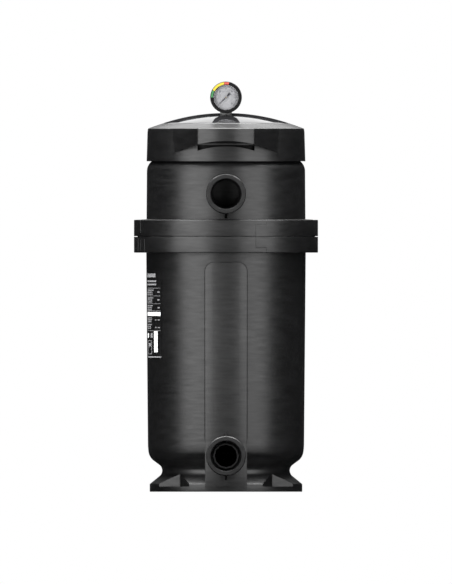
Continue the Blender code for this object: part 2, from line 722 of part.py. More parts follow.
def gauge_adapter():
    """A hexagon fitting with a shank through the lid and a bore for the gauge stem."""
    hexagon = disc("gauge_adapter", 13.5 * MM, SEAT_Z + GAP, 759.9 * MM, (BLACK, 0.3), 6)
    shank = disc("adapter_shank", 7.8 * MM, 738 * MM, 757 * MM, segments=24)
    bore = disc("adapter_bore", 4.5 * MM, 748 * MM, 770 * MM, segments=16)
    duct = disc("adapter_duct", 2 * MM, 730 * MM, 750 * MM, segments=12)
    for piece in (hexagon, shank, bore, duct):
        piece.location.y = GAUGE_STEM_Y
    join(hexagon, shank)
    cut(hexagon, bore, duct)


def gauge_case():
    """A round cup that opens forwards, with its threaded stem at the bottom."""
    wall = 2.6 * MM
    profile = [(GAUGE_CASE_RADIUS - wall, GAUGE_DEPTH), (GAUGE_CASE_RADIUS, GAUGE_DEPTH),
               (GAUGE_CASE_RADIUS, 1.5 * MM), (GAUGE_CASE_RADIUS - 1.5 * MM, 0), (0, 0)]
    inside = [(0, 3 * MM), (GAUGE_CASE_RADIUS - wall, 3 * MM)]
    case = solid_turned("gauge_case", inside + profile, (BLACK, 0.3), 36)
    facing_front(case, GAUGE_BACK_Y, GAUGE_Z)
    stem = disc("gauge_stem", 4 * MM, 749 * MM, GAUGE_Z - 26.5 * MM, segments=16)
    stem.location.y = GAUGE_STEM_Y
    join(case, stem)


def gauge_dial():
    dial = turned("gauge_dial", [(1.8 * MM, 0.8 * MM), (25.4 * MM, 0.8 * MM), (25.4 * MM, 0), (1.8 * MM, 0)],
                  (WHITE, 0.5), 36)
    facing_front(dial, DIAL_Y, GAUGE_Z)
    spindle = disc("gauge_spindle", 1.1 * MM, 0, 15 * MM, (BRASS, 0.3, 1.0), 12)
    facing_front(spindle, NEEDLE_Y - 1 * MM + 15 * MM, GAUGE_Z)
    coil = [(15.5 * MM * math.cos(a), 0, GAUGE_Z + 15.5 * MM * math.sin(a))
            for a in (math.radians(-60 + 285 * i / 16) for i in range(17))]
    bourdon = tube("bourdon_tube", coil, 2 * MM, (BRASS, 0.35, 1.0), 2)
    bourdon.location.y = GAUGE_STEM_Y - 6 * MM


def gauge_needle():
    """A pointer with a wide counterweight, at rest at the lower left of the dial."""
    outline = circle(3.2 * MM, 16)
    needle = prism("gauge_needle", [outline], -0.4 * MM, 0.4 * MM, (DARK, 0.4), along="Y")
    tip_end, tail_end = 18.5 * MM, -9.5 * MM
    tip_outline = [(-1.1 * MM, 0), (1.1 * MM, 0), (0.35 * MM, tip_end), (-0.35 * MM, tip_end)]
    tail_outline = [(-1.3 * MM, 0), (-2 * MM, tail_end), (2 * MM, tail_end), (1.3 * MM, 0)]
    tip = prism("needle_tip", [tip_outline], -0.4 * MM, 0.4 * MM, along="Y")
    tail = prism("needle_tail", [tail_outline], -0.4 * MM, 0.4 * MM, along="Y")
    hole = disc("needle_hole", 1.4 * MM, -3 * MM, 3 * MM, segments=12)
    rest_angle = math.radians(-135)
    for piece in (needle, tip, tail):
        piece.location = (0, NEEDLE_Y, GAUGE_Z)
        piece.rotation_euler = (math.radians(90), rest_angle, 0)
    hole.location = (0, NEEDLE_Y, GAUGE_Z)
    hole.rotation_euler = (math.radians(90), 0, 0)
    join(needle, tip, tail)
    cut(needle, hole)


def gauge_front():
    """The window and the loose outer ring that can be turned to mark a clean pressure."""
    lens = disc("gauge_lens", 28.2 * MM, 0, 1.6 * MM, (WHITE, 0.05), 36)
    facing_front(lens, GAUGE_FRONT_Y - GAP, GAUGE_Z)
    lip, back = 10.5 * MM, 0.0
    profile = [(DIAL_WINDOW, lip), (BEZEL_RADIUS - 1.2 * MM, lip), (BEZEL_RADIUS, lip - 1.2 * MM),
               (BEZEL_RADIUS, back), (GAUGE_CASE_RADIUS + 0.5 * MM, back),
               (GAUGE_CASE_RADIUS + 0.5 * MM, 8.4 * MM), (DIAL_WINDOW, 8.4 * MM)]
    facing_front(turned("gauge_bezel", profile, (BLACK, 0.3), 36), GAUGE_FRONT_Y + 6 * MM, GAUGE_Z)


def relief_valve():
    """Valve body in the lid, its washer and the knob that opens it."""
    low = 754.5 * MM
    seal = [(5.6 * MM, low + 1.9 * MM), (9 * MM, low + 1.9 * MM), (9 * MM, low + GAP), (5.6 * MM, low + GAP)]
    washer = turned("air_relief_seal", seal, (DARK, 0.5), 24)
    base = [(0, 769 * MM), (3 * MM, 769 * MM), (3 * MM, 760.6 * MM), (9.2 * MM, 760.6 * MM),
            (9.2 * MM, 756.8 * MM), (5 * MM, 756.8 * MM), (5 * MM, 740 * MM), (0, 740 * MM)]
    body = solid_turned("air_relief_body", base, (BRASS, 0.3, 1.0), 24)
    knob_profile = [(0, 775 * MM), (9.5 * MM, 775 * MM), (11 * MM, 773.5 * MM), (11 * MM, 762 * MM),
                    (10 * MM, 761 * MM), (3.5 * MM, 761 * MM), (3.5 * MM, 769.6 * MM), (0, 769.6 * MM)]
    knob = solid_turned("air_relief_knob", knob_profile, (BLACK, 0.35), 24)
    flutes = 8
    for i in range(flutes):
        flute = disc("flute_%d" % i, 2.2 * MM, 759 * MM, 778 * MM, segments=10)
        x, y = around(12.2 * MM, 360 * (i + 0.5) / flutes)
        flute.location = (x, RELIEF_Y + y, 0)
        cut(knob, flute)
    for piece in (washer, body, knob):
        piece.location.y = RELIEF_Y


# ---------------------------------------------------------------- drain, label, seals

def facing_rear(obj):
    obj.rotation_euler = (math.radians(-90), 0, 0)
    obj.location = (0, DRAIN_FACE_Y, DRAIN_Z)
    return obj


def drain():
    seal = [(12.6 * MM, 2.4 * MM), (17.5 * MM, 2.4 * MM), (17.5 * MM, GAP), (12.6 * MM, GAP)]
    facing_rear(turned("drain_plug_seal", seal, (DARK, 0.5), 32))
    head = 2.8 * MM
    profile = [(0, head + 7 * MM), (18 * MM, head + 7 * MM), (19.5 * MM, head + 5.5 * MM),
               (19.5 * MM, head), (11.4 * MM, head), (11.4 * MM, -26 * MM), (0, -26 * MM)]
    plug = facing_rear(solid_turned("drain_plug", profile, (BLACK, 0.35), 32))
    wing = box("drain_wing", (-15 * MM, -3.2 * MM, head + 3 * MM), (15 * MM, 3.2 * MM, head + 17 * MM))
    join(plug, facing_rear(wing))


def rating_label():
    """A thin printed plate that follows the side of the lower body."""
    start, end = -82.0, -54.4
    low, high = 266 * MM, 438 * MM
    columns = 10
    thickness = 0.5 * MM

    def wall_radius(z):
        share = (z - 110 * MM) / (478 * MM - 110 * MM)
        return LOWER_RADIUS_BOTTOM + 0.3 * MM + share * (LOWER_RADIUS_TOP - LOWER_RADIUS_BOTTOM - 0.3 * MM)

    def build(bm):
        rows = []
        for z in (low, high):
            radius = wall_radius(z) + GAP
            angles = [start + (end - start) * i / columns for i in range(columns + 1)]
            rows.append([bm.verts.new((*around(radius, a), z)) for a in angles])
        for i in range(columns):
            bm.faces.new((rows[0][i], rows[0][i + 1], rows[1][i + 1], rows[1][i]))

    label = add_object("rating_label", mesh_from("rating_label", build), (WHITE, 0.5))
    solid = label.modifiers.new("Thickness", "SOLIDIFY")
    solid.thickness = thickness
    solid.offset = 1.0


def seals():
    low, high = PARTING_Z - 3.2 * MM, PARTING_Z
    gasket = [(155.4 * MM, high), (159.5 * MM, high), (159.5 * MM, low), (155.4 * MM, low)]
    turned("body_seal", gasket, (DARK, 0.5))
    o_ring("lid_seal", 134.5 * MM, 3.9 * MM, 708.8 * MM)
    ring = o_ring("outlet_seal", 28.2 * MM, 4.0 * MM, 0, 32)
    facing_front(ring, -118.6 * MM, LOWER_PORT_Z)


# ---------------------------------------------------------------- cartridge and outlet

def cartridge():
    """Pleated filter medium around a slotted core, between two end caps."""
    low_cap_top = CARTRIDGE_LOW + CAP_THICKNESS
    high_cap_low = CARTRIDGE_HIGH - CAP_THICKNESS
    outer = []
    for i in range(2 * PLEATS):
        radius = 110 * MM if i % 2 else 99 * MM
        outer.append(around(radius, 360 * i / (2 * PLEATS)))
    low, high = low_cap_top + GAP, high_cap_low - GAP
    prism("cartridge_media", [outer, circle(44 * MM, 36)], low, high, (WHITE, 0.9))
    core_profile = [(38 * MM, high), (42 * MM, high), (42 * MM, low), (38 * MM, low)]
    core = turned("cartridge_core", core_profile, (WHITE, 0.5), 36)
    for level in range(3):
        z = 185 * MM + level * 150 * MM
        for turn in range(2):
            name = "slot_%d_%d" % (level, turn)
            slot = box(name, (-60 * MM, -8 * MM, z), (60 * MM, 8 * MM, z + 100 * MM))
            slot.rotation_euler.z = math.radians(45 + 90 * turn)
            cut(core, slot)
    for name, low in (("cartridge_bottom_cap", CARTRIDGE_LOW), ("cartridge_top_cap", high_cap_low)):
        high = low + CAP_THICKNESS
        profile = [(36 * MM, high), (CARTRIDGE_RADIUS - 2 * MM, high), (CARTRIDGE_RADIUS, high - 2 * MM),
                   (CARTRIDGE_RADIUS, low + 2 * MM), (CARTRIDGE_RADIUS - 2 * MM, low), (36 * MM, low)]
        turned(name, profile, (GREY, 0.6), 36)


def elbow_route(start_y, top_z, steps=7):
    """From the port inwards, round the bend and up the axis."""
    points = [(0, start_y, LOWER_PORT_Z)]
    for i in range(steps + 1):
        angle = math.radians(90 * i / steps)
        points.append((0, -ELBOW_BEND + ELBOW_BEND * math.sin(angle),
                       LOWER_PORT_Z + ELBOW_BEND * (1 - math.cos(angle))))
    points.append((0, 0, top_z))
    return points


def outlet_elbow():
    """Carries clean water from the core of the cartridge down to the lower port."""
    collar_top = CARTRIDGE_LOW - GAP
    spigot_top = 138 * MM
    elbow = tube("outlet_elbow", elbow_route(-156 * MM, 122 * MM), PIPE_RADIUS, (BLACK, 0.4), 4)
    profile = [(0, spigot_top), (33 * MM, spigot_top), (35 * MM, spigot_top - 3 * MM), (35 * MM, collar_top),
               (47 * MM, collar_top), (47 * MM, collar_top - 5 * MM), (26.5 * MM, collar_top - 9 * MM),
               (0, collar_top - 9 * MM)]
    join(elbow, solid_turned("elbow_collar", profile, segments=36))
    cut(elbow, tube("elbow_bore", elbow_route(-165 * MM, 145 * MM), PIPE_BORE, resolution=4))
    for turn in range(2):
        arm = box("tube_arm_%d" % turn, (-24 * MM, -2 * MM, 126 * MM), (24 * MM, 2 * MM, 136 * MM))
        arm.rotation_euler.z = math.radians(90 * turn)
        join(elbow, arm)
    join(elbow, disc("tube_hub", 7.5 * MM, 126 * MM, 136 * MM, segments=16))
    cut(elbow, disc("tube_socket", 4.5 * MM, 128.5 * MM, 145 * MM, segments=16))
    return elbow


def bleed_tube():
    """Lets trapped air out of the top of the tank, through a strainer."""
    low, high = 129 * MM, 655 * MM
    turned("bleed_tube", [(2.6 * MM, high), (4 * MM, high), (4 * MM, low), (2.6 * MM, low)], (WHITE, 0.4), 16)
    base, top = 650 * MM, 684 * MM
    profile = [(0, top), (8 * MM, top), (11 * MM, top - 3 * MM), (11 * MM, base), (4.5 * MM, base),
               (4.5 * MM, high + GAP), (0, high + GAP)]
    solid_turned("bleed_strainer", profile, (GREY, 0.6), 24)


lower_body()
upper_body()
clamp_band()
clamp_lever()
clamp_link()
pins()
lid()
lock_ring()
slip_ring()
gauge_adapter()
gauge_case()
gauge_dial()
gauge_needle()
gauge_front()
relief_valve()
drain()
rating_label()
seals()
cartridge()
outlet_elbow()
bleed_tube()
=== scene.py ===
import json
import math

import bmesh
import bpy
from mathutils import Matrix, Vector

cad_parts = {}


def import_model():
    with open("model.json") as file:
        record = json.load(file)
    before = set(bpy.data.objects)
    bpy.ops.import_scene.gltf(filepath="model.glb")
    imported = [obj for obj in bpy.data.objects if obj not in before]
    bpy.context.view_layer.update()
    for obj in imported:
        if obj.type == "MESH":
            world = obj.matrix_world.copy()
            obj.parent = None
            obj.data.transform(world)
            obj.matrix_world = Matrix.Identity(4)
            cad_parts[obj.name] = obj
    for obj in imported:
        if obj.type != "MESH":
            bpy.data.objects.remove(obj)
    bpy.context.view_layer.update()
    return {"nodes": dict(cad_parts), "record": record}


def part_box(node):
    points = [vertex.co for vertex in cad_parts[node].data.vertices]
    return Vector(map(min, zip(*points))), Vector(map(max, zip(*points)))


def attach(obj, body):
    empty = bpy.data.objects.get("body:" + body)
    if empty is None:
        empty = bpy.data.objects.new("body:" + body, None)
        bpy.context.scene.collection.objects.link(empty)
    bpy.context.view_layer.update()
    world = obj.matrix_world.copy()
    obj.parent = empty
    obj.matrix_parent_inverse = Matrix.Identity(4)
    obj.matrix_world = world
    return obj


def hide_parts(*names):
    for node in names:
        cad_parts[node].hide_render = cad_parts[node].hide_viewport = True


# Looks of the pool filter tank. Metres, +Z up, ports towards -Y. Azimuths are in degrees from the
# front (-Y) towards +X. Each large moulding is rebuilt here with fine facets and rounded edges, in
# the place that its CAD node holds.

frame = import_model()

MM = 0.001
GAP = 0.4 * MM
FINE = 192                          # facets around a large turned piece
SMALL = 96                          # facets around a small one
WELD = 0.00002

# Driving sizes. Those that name a node are read from the frame.
BAND_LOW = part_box("clamp_band")[0].z
BAND_RADIUS = 184 * MM
BORE_RADIUS = 150 * MM              # inside of both bodies where they meet
FLANGE_RADIUS = 168 * MM            # the flanges that the band clamps
BAND_HIGH = 543.8 * MM
PARTING_Z = 510.5 * MM
PORT_FACE_Y = -198 * MM
LOWER_PORT_Z = 71.6 * MM
UPPER_PORT_Z = 595.8 * MM
LABEL_START, LABEL_END = -82.0, -54.4    # azimuths of the plate's sides
LABEL_FILM = 0.3 * MM
LABEL_INK = 0.08 * MM
DRAIN_Z = 58 * MM
DRAIN_FACE_Y = 160 * MM
GAUGE_Z = 788.8 * MM
GAUGE_FRONT_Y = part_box("gauge_case")[0].y
GAUGE_BACK_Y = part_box("gauge_case")[1].y
DIAL_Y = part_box("gauge_dial")[1].y
NEEDLE_Y = sum(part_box("gauge_needle"), Vector()).y / 2
STEM_Y = sum(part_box("gauge_adapter"), Vector()).y / 2
RELIEF_Y = 70 * MM
CARTRIDGE_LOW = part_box("cartridge_bottom_cap")[0].z
CARTRIDGE_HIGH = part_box("cartridge_top_cap")[1].z
CAP_THICKNESS = 12 * MM


# ---------------------------------------------------------------- plan and profile helpers

def arc(centre, radius, start, end, steps):
    """Points on an arc, angles in degrees from the first axis towards the second."""
    points = []
    for i in range(steps + 1):
        angle = math.radians(start + (end - start) * i / steps)
        points.append((centre[0] + radius * math.cos(angle), centre[1] + radius * math.sin(angle)))
    return points


def rounded(corners, steps=4):
    """Replace each corner (u, v, fillet) with a tangent arc of that radius."""
    points = []
    count = len(corners)
    for i, (u, v, fillet) in enumerate(corners):
        here = Vector((u, v))
        before = Vector(corners[i - 1][:2]) - here
        after = Vector(corners[(i + 1) % count][:2]) - here
        if fillet <= 0:
            points.append((u, v))
            continue
        half = before.angle(after) / 2
        reach = min(fillet / math.tan(half), 0.49 * before.length, 0.49 * after.length)
        radius = reach * math.tan(half)
        middle = here + (before.normalized() + after.normalized()).normalized() * (radius / math.sin(half))
        first = here + before.normalized() * reach - middle
        last = here + after.normalized() * reach - middle
        turn = first.angle_signed(last)
        for k in range(steps + 1):
            points.append(tuple(middle + Matrix.Rotation(-turn * k / steps, 2) @ first))
    return points


def around(radius, azimuth):
    angle = math.radians(azimuth)
    return (radius * math.sin(angle), -radius * math.cos(angle))


def sector(inner, outer, start, end, step=1.5):
    """Plan outline of part of a ring."""
    count = max(2, math.ceil((end - start) / step))
    angles = [start + (end - start) * i / count for i in range(count + 1)]
    return [around(outer, a) for a in angles] + [around(inner, a) for a in reversed(angles)]


def mm(points):
    """Points or corners (u, v, fillet) given in millimetres, in metres."""
    return [tuple(value * MM for value in point) for point in points]


# ---------------------------------------------------------------- mesh helpers

def from_bmesh(name, bm):
    bmesh.ops.remove_doubles(bm, verts=bm.verts, dist=WELD / 2)
    bmesh.ops.recalc_face_normals(bm, faces=bm.faces)
    mesh = bpy.data.meshes.new(name)
    bm.to_mesh(mesh)
    bm.free()
    obj = bpy.data.objects.new(name, mesh)
    bpy.context.scene.collection.objects.link(obj)
    return obj


def lathe(name, profile, segments=FINE, closed=True):
    """Turn a profile of (radius, height) about Z. An open profile starts and ends on the axis."""
    bm = bmesh.new()
    rings = []
    for radius, height in profile:
        if radius < WELD:
            rings.append([bm.verts.new((0, 0, height))])
        else:
            places = [around(radius, 360 * i / segments) for i in range(segments)]
            rings.append([bm.verts.new((*place, height)) for place in places])
    following = rings[1:] + rings[:1] if closed else rings[1:]
    for ring, other in zip(rings, following):
        for i in range(segments):
            j = (i + 1) % segments
            here, there = len(ring), len(other)
            corners = [ring[i % here], other[i % there], other[j % there], ring[j % here]]
            corners = list(dict.fromkeys(corners))
            if len(corners) > 2:
                bm.faces.new(corners)
    return from_bmesh(name, bm)


def prism(name, outline, low, high, along="Z"):
    """Extrude an outline of (u, v) from low to high. Along Y, u is X and v is Z; along X, u is Y."""
    places = {"Z": lambda u, v, w: (u, v, w), "Y": lambda u, v, w: (u, w, v), "X": lambda u, v, w: (w, u, v)}
    place = places[along]
    bm = bmesh.new()
    bottom = [bm.verts.new(place(u, v, low)) for u, v in outline]
    top = [bm.verts.new(place(u, v, high)) for u, v in outline]
    bm.faces.new(bottom)
    bm.faces.new(top)
    for i in range(len(outline)):
        j = (i + 1) % len(outline)
        bm.faces.new((bottom[i], bottom[j], top[j], top[i]))
    return from_bmesh(name, bm)


def disc(name, radius, low, high, segments=SMALL):
    return lathe(name, [(0, high), (radius, high), (radius, low), (0, low)], segments, closed=False)


def move(obj, place=(0, 0, 0), turn=(0, 0, 0)):
    """Turn a mesh by degrees about X, Y and Z, then move it. The object stays at the origin."""
    matrix = Matrix.Translation(place)
    for axis, angle in zip("ZYX", reversed(turn)):
        matrix = matrix @ Matrix.Rotation(math.radians(angle), 4, axis)
    obj.data.transform(matrix)
    return obj


def facing_front(obj, y, z):
    """Point local Z to the front."""
    return move(obj, (0, y, z), (90, 0, 0))


def facing_rear(obj, y, z):
    return move(obj, (0, y, z), (-90, 0, 0))


def copy_turned(obj, name, angle):
    other = bpy.data.objects.new(name, obj.data.copy())
    bpy.context.scene.collection.objects.link(other)
    return move(other, turn=(0, 0, angle))


def apply(obj):
    """Put an object's modifiers into its mesh."""
    bpy.context.view_layer.update()
    depsgraph = bpy.context.evaluated_depsgraph_get()
    mesh = bpy.data.meshes.new_from_object(obj.evaluated_get(depsgraph))
    obj.modifiers.clear()
    obj.data = mesh
    return obj


def gather(name, objects):
    """Put meshes that don't touch each other in one object."""
    bm = bmesh.new()
    for obj in objects:
        bm.from_mesh(obj.data)
        bpy.data.objects.remove(obj, do_unlink=True)
    mesh = bpy.data.meshes.new(name)
    bm.to_mesh(mesh)
    bm.free()
    joined = bpy.data.objects.new(name, mesh)
    bpy.context.scene.collection.objects.link(joined)
    return joined


def combine(target, operation, *others):
    """Boolean with each of the others, which are used up."""
    for other in others:
        modifier = target.modifiers.new(operation, "BOOLEAN")
        modifier.operation = operation
        modifier.object = other
    apply(target)
    for other in others:
        bpy.data.objects.remove(other, do_unlink=True)
    weld = target.modifiers.new("Weld", "WELD")
    weld.merge_threshold = WELD
    return apply(target)


def cut(target, *others):
    return combine(target, "DIFFERENCE", *others)


def join(target, *others):
    return combine(target, "UNION", *others)


def soften(obj, width, angle=50.0, steps=2):
    """Round the sharp edges."""
    bevel = obj.modifiers.new("Soften", "BEVEL")
    bevel.width = width
    bevel.segments = steps
    bevel.limit_method = "ANGLE"
    bevel.angle_limit = math.radians(angle)
    bevel.use_clamp_overlap = True
    return apply(obj)


def smooth(obj, angle=32.0):
    obj.data.shade_smooth()
    obj.data.set_sharp_from_angle(angle=math.radians(angle))


def piece(obj, name, body, slot, *nodes, angle=32.0):
    """Finish a mesh as a piece of the model, standing for CAD nodes."""
    obj.name = name
    obj.data.name = name
    obj.data.materials.clear()
    obj.data.materials.append(FINISHES[slot])
    smooth(obj, angle)
    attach(obj, body)
    if nodes:
        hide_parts(*nodes)
    return obj


# ---------------------------------------------------------------- materials

def new_material(name, roughness, metallic=0.0):
    mat = bpy.data.materials.new(name)
    mat.use_nodes = True
    shader = mat.node_tree.nodes["Principled BSDF"]
    shader.inputs["Roughness"].default_value = roughness
    shader.inputs["Metallic"].default_value = metallic
    return mat, mat.node_tree, shader


def noise(tree, scale, detail=4.0, stretch=(1, 1, 1)):
    place = tree.nodes.new("ShaderNodeTexCoord")
    mapping = tree.nodes.new("ShaderNodeMapping")
    mapping.inputs["Scale"].default_value = stretch
    texture = tree.nodes.new("ShaderNodeTexNoise")
    texture.inputs["Scale"].default_value = scale
    texture.inputs["Detail"].default_value = detail
    tree.links.new(place.outputs["Object"], mapping.inputs["Vector"])
    tree.links.new(mapping.outputs["Vector"], texture.inputs["Vector"])
    return texture.outputs["Fac"]


def spread(tree, value, low, high):
    """The middle of a noise as a number between low and high."""
    node = tree.nodes.new("ShaderNodeMapRange")
    node.inputs["From Min"].default_value = 0.3
    node.inputs["From Max"].default_value = 0.7
    node.inputs["To Min"].default_value = low
    node.inputs["To Max"].default_value = high
    tree.links.new(value, node.inputs["Value"])
    return node.outputs["Result"]


def tint(tree, value, first, second, start=0.3, end=0.7):
    """The middle of a noise as a colour between two."""
    ramp = tree.nodes.new("ShaderNodeValToRGB")
    ramp.color_ramp.elements[0].position = start
    ramp.color_ramp.elements[1].position = end
    ramp.color_ramp.elements[0].color = (*first, 1)
    ramp.color_ramp.elements[1].color = (*second, 1)
    tree.links.new(value, ramp.inputs["Fac"])
    return ramp.outputs["Color"]


def bump(tree, height, strength, distance, under=None):
    node = tree.nodes.new("ShaderNodeBump")
    node.inputs["Strength"].default_value = strength
    node.inputs["Distance"].default_value = distance
    tree.links.new(height, node.inputs["Height"])
    if under is not None:
        tree.links.new(under, node.inputs["Normal"])
    return node.outputs["Normal"]


def moulded(name, grey, roughness, variation, grain=0.04, wave=0.05, level=0.5):
    """Black moulded plastic: level streaks in its gloss and tone, over a fine grain."""
    mat, tree, shader = new_material(name, roughness)
    cloud = noise(tree, 20.0, 6.0, (1, 1, 7))
    streak = noise(tree, 34.0, 3.0, (1, 1, 6.5))
    tree.links.new(spread(tree, streak, level * 0.89, level * 1.11), shader.inputs["Specular IOR Level"])
    grainy = noise(tree, 1400.0, 2.0)
    swell = noise(tree, 26.0, 3.0, (1, 1, 6))
    pale = tuple(grey * share for share in (1.25, 1.25, 1.32))
    dark = tuple(grey * share for share in (0.8, 0.8, 0.84))
    gloss = spread(tree, cloud, roughness - variation, roughness + variation)
    tree.links.new(tint(tree, cloud, dark, pale), shader.inputs["Base Color"])
    tree.links.new(gloss, shader.inputs["Roughness"])
    normal = bump(tree, grainy, grain, 0.2 * MM)
    normal = bump(tree, swell, wave, 1.5 * MM, normal)
    tree.links.new(normal, shader.inputs["Normal"])
    return mat


def plain_plastic(name, colour, roughness, grain=0.05):
    """Coloured plastic with slight mottling and a fine grain."""
    mat, tree, shader = new_material(name, roughness)
    cloud = noise(tree, 35.0, 5.0)
    dark = tuple(c * 0.9 for c in colour)
    gloss = spread(tree, cloud, roughness * 0.85, min(1.0, roughness * 1.15))
    tree.links.new(tint(tree, cloud, dark, colour), shader.inputs["Base Color"])
    tree.links.new(gloss, shader.inputs["Roughness"])
    tree.links.new(bump(tree, noise(tree, 1100.0, 2.0), grain, 0.2 * MM), shader.inputs["Normal"])
    return mat


def metal(name, colour, roughness, brushed=(1, 1, 40)):
    """Machined metal with fine marks along one direction."""
    mat, tree, shader = new_material(name, roughness, 1.0)
    marks = noise(tree, 60.0, 6.0, brushed)
    dark = tuple(c * 0.78 for c in colour)
    tree.links.new(tint(tree, marks, dark, colour), shader.inputs["Base Color"])
    tree.links.new(spread(tree, marks, roughness * 0.7, roughness * 1.4), shader.inputs["Roughness"])
    tree.links.new(bump(tree, marks, 0.12, 0.1 * MM), shader.inputs["Normal"])
    return mat


def rubber(name):
    mat, tree, shader = new_material(name, 0.55)
    cloud = noise(tree, 80.0, 5.0)
    colour = tint(tree, cloud, (0.012, 0.012, 0.013), (0.028, 0.028, 0.03))
    tree.links.new(colour, shader.inputs["Base Color"])
    tree.links.new(spread(tree, cloud, 0.45, 0.7), shader.inputs["Roughness"])
    tree.links.new(bump(tree, noise(tree, 700.0, 3.0), 0.1, 0.2 * MM), shader.inputs["Normal"])
    return mat


def fabric(name):
    """Spun polyester felt: white, soft and fibrous."""
    mat, tree, shader = new_material(name, 0.9)
    shader.inputs["Sheen Weight"].default_value = 0.3
    fibre = noise(tree, 420.0, 8.0, (1, 1, 0.25))
    patch = noise(tree, 14.0, 4.0)
    tree.links.new(tint(tree, patch, (0.2, 0.205, 0.21), (0.27, 0.275, 0.28)), shader.inputs["Base Color"])
    tree.links.new(spread(tree, fibre, 0.8, 1.0), shader.inputs["Roughness"])
    tree.links.new(bump(tree, fibre, 0.35, 0.5 * MM), shader.inputs["Normal"])
    return mat


def clear_window(name):
    """Clear plastic with faint wipe marks. It is see-through, without bending the light."""
    mat, tree, shader = new_material(name, 0.05)
    shader.inputs["Base Color"].default_value = (0.02, 0.02, 0.02, 1)
    shader.inputs["Alpha"].default_value = 0.12
    marks = noise(tree, 55.0, 6.0, (1, 4, 1))
    tree.links.new(spread(tree, marks, 0.02, 0.09), shader.inputs["Roughness"])
    return mat


def make_finishes():
    """One material for each slot of the record."""
    return {
        "housing_black": moulded("housing_black", 0.0028, 0.38, 0.05),
        "band_black": moulded("band_black", 0.0028, 0.37, 0.05),
        "ring_black": moulded("ring_black", 0.0028, 0.36, 0.04),
        "lid_black": moulded("lid_black", 0.01, 0.06, 0.02, grain=0.0, wave=0.01),
        "gauge_black": moulded("gauge_black", 0.003, 0.25, 0.04),
        "bezel_black_marked": moulded("bezel_black_marked", 0.003, 0.24, 0.04, level=0.25),
        "seal_rubber": rubber("seal_rubber"),
        "slip_ring_white": plain_plastic("slip_ring_white", (0.38, 0.38, 0.37), 0.35),
        "white_plastic": plain_plastic("white_plastic", (0.34, 0.34, 0.34), 0.4),
        "cap_grey": plain_plastic("cap_grey", (0.075, 0.085, 0.1), 0.5),
        "dial_pale": plain_plastic("dial_pale", (0.5, 0.5, 0.52), 0.5, 0.02),
        "needle_dark": plain_plastic("needle_dark", (0.03, 0.03, 0.04), 0.4, 0.02),
        "label_print": moulded("label_print", 0.003, 0.38, 0.04, grain=0.0, wave=0.02),
        "gauge_window": clear_window("gauge_window"),
        "pleated_fabric": fabric("pleated_fabric"),
        "stainless_steel": metal("stainless_steel", (0.6, 0.6, 0.61), 0.25),
        "brass_fitting": metal("brass_fitting", (0.66, 0.5, 0.24), 0.3),
    }


FINISHES = make_finishes()


def ink(name, colour, roughness=0.45):
    """Printed ink with slightly uneven cover."""
    mat, tree, shader = new_material(name, roughness)
    cover = noise(tree, 500.0, 4.0)
    dark = tuple(c * 0.86 for c in colour)
    tree.links.new(tint(tree, cover, dark, colour), shader.inputs["Base Color"])
    return mat


def print_piece(obj, name, body, slot, mat):
    """A printed or painted mark: it takes a slot's finish, in its own colour."""
    piece(obj, name, body, slot)
    obj.data.materials[0] = mat
    return obj


# ---------------------------------------------------------------- housing

def lower_profile():
    """Inner floor, up the inside, over the flange, down the outside and under the foot."""
    face = PARTING_Z - 0.3 * MM
    slope = 49
    inside = [(0, 30 * MM), (96 * MM, 30 * MM)]
    inside += arc((96 * MM, 54 * MM), 24 * MM, -75, -10, 6)
    inside += arc((112 * MM, 96 * MM), 35.5 * MM, -49, 0, 8)
    inside += [(BORE_RADIUS, 200 * MM)]
    flange = rounded([(BORE_RADIUS, 200 * MM, 0), (BORE_RADIUS, face, 0.5 * MM), (155 * MM, face, 0),
                      (155 * MM, face - 3.3 * MM, 0), (160 * MM, face - 3.3 * MM, 0), (160 * MM, face, 0),
                      (FLANGE_RADIUS, face, 0.6 * MM), (FLANGE_RADIUS, 492.5 * MM, 1 * MM),
                      (159.5 * MM, 490.5 * MM, 1 * MM), (159.5 * MM, 478 * MM, 0)])[1:]
    wall = [(156.2 * MM, 98 * MM)]
    wall += arc((156.2 * MM - 129 * MM, 98 * MM), 129 * MM, 0, -8, 6)[1:]
    wall += arc((127.7 * MM, 83.8 * MM), 27.5 * MM, -8, -slope, 12)[1:]
    waist = arc((141.8 * MM, 42.5 * MM), 14.2 * MM, 180 - slope, 180 + slope, 16)
    foot = rounded([(waist[-1][0], waist[-1][1], 0), (151.8 * MM, 16 * MM, 1 * MM),
                    (152.5 * MM, 15.2 * MM, 0.4 * MM), (152.5 * MM, 0, 1.2 * MM), (116 * MM, 0, 0.8 * MM),
                    (114 * MM, 14 * MM, 3 * MM), (0, 18 * MM, 0)])[1:]
    return inside + flange + wall + waist + foot


def column_outline(grow, bottom):
    """The front strip's outline, with its rounded top corners, made larger all round by grow."""
    half, top, corner = 42 * MM + grow, 458.6 * MM + grow, 18 * MM + grow
    outline = [(-half, bottom), (half, bottom)]
    outline += arc((half - corner, top - corner), corner, 0, 90, 16)
    return outline + arc((corner - half, top - corner), corner, 90, 180, 16)


def column_seam():
    """The narrow groove in the wall around the front strip."""
    seam = prism("seam", column_outline(1 * MM, 104 * MM), -175 * MM, -120 * MM, "Y")
    cut(seam, prism("seam_core", column_outline(-1 * MM, 90 * MM), -180 * MM, -110 * MM, "Y"))
    return cut(seam, disc("seam_floor", 154.6 * MM, 60 * MM, 480 * MM, FINE))


def column():
    """The raised strip down the front, with soft edges, which becomes a pier before the waist."""
    strip = prism("column", column_outline(0, 0), -175 * MM, -120 * MM, "Y")
    combine(strip, "INTERSECT", disc("limit", 162 * MM, -5 * MM, 470 * MM, FINE))
    soften(strip, 0.7 * MM, 55, 3)
    return cut(strip, disc("hollow", 153 * MM, 86 * MM, 475 * MM, FINE))


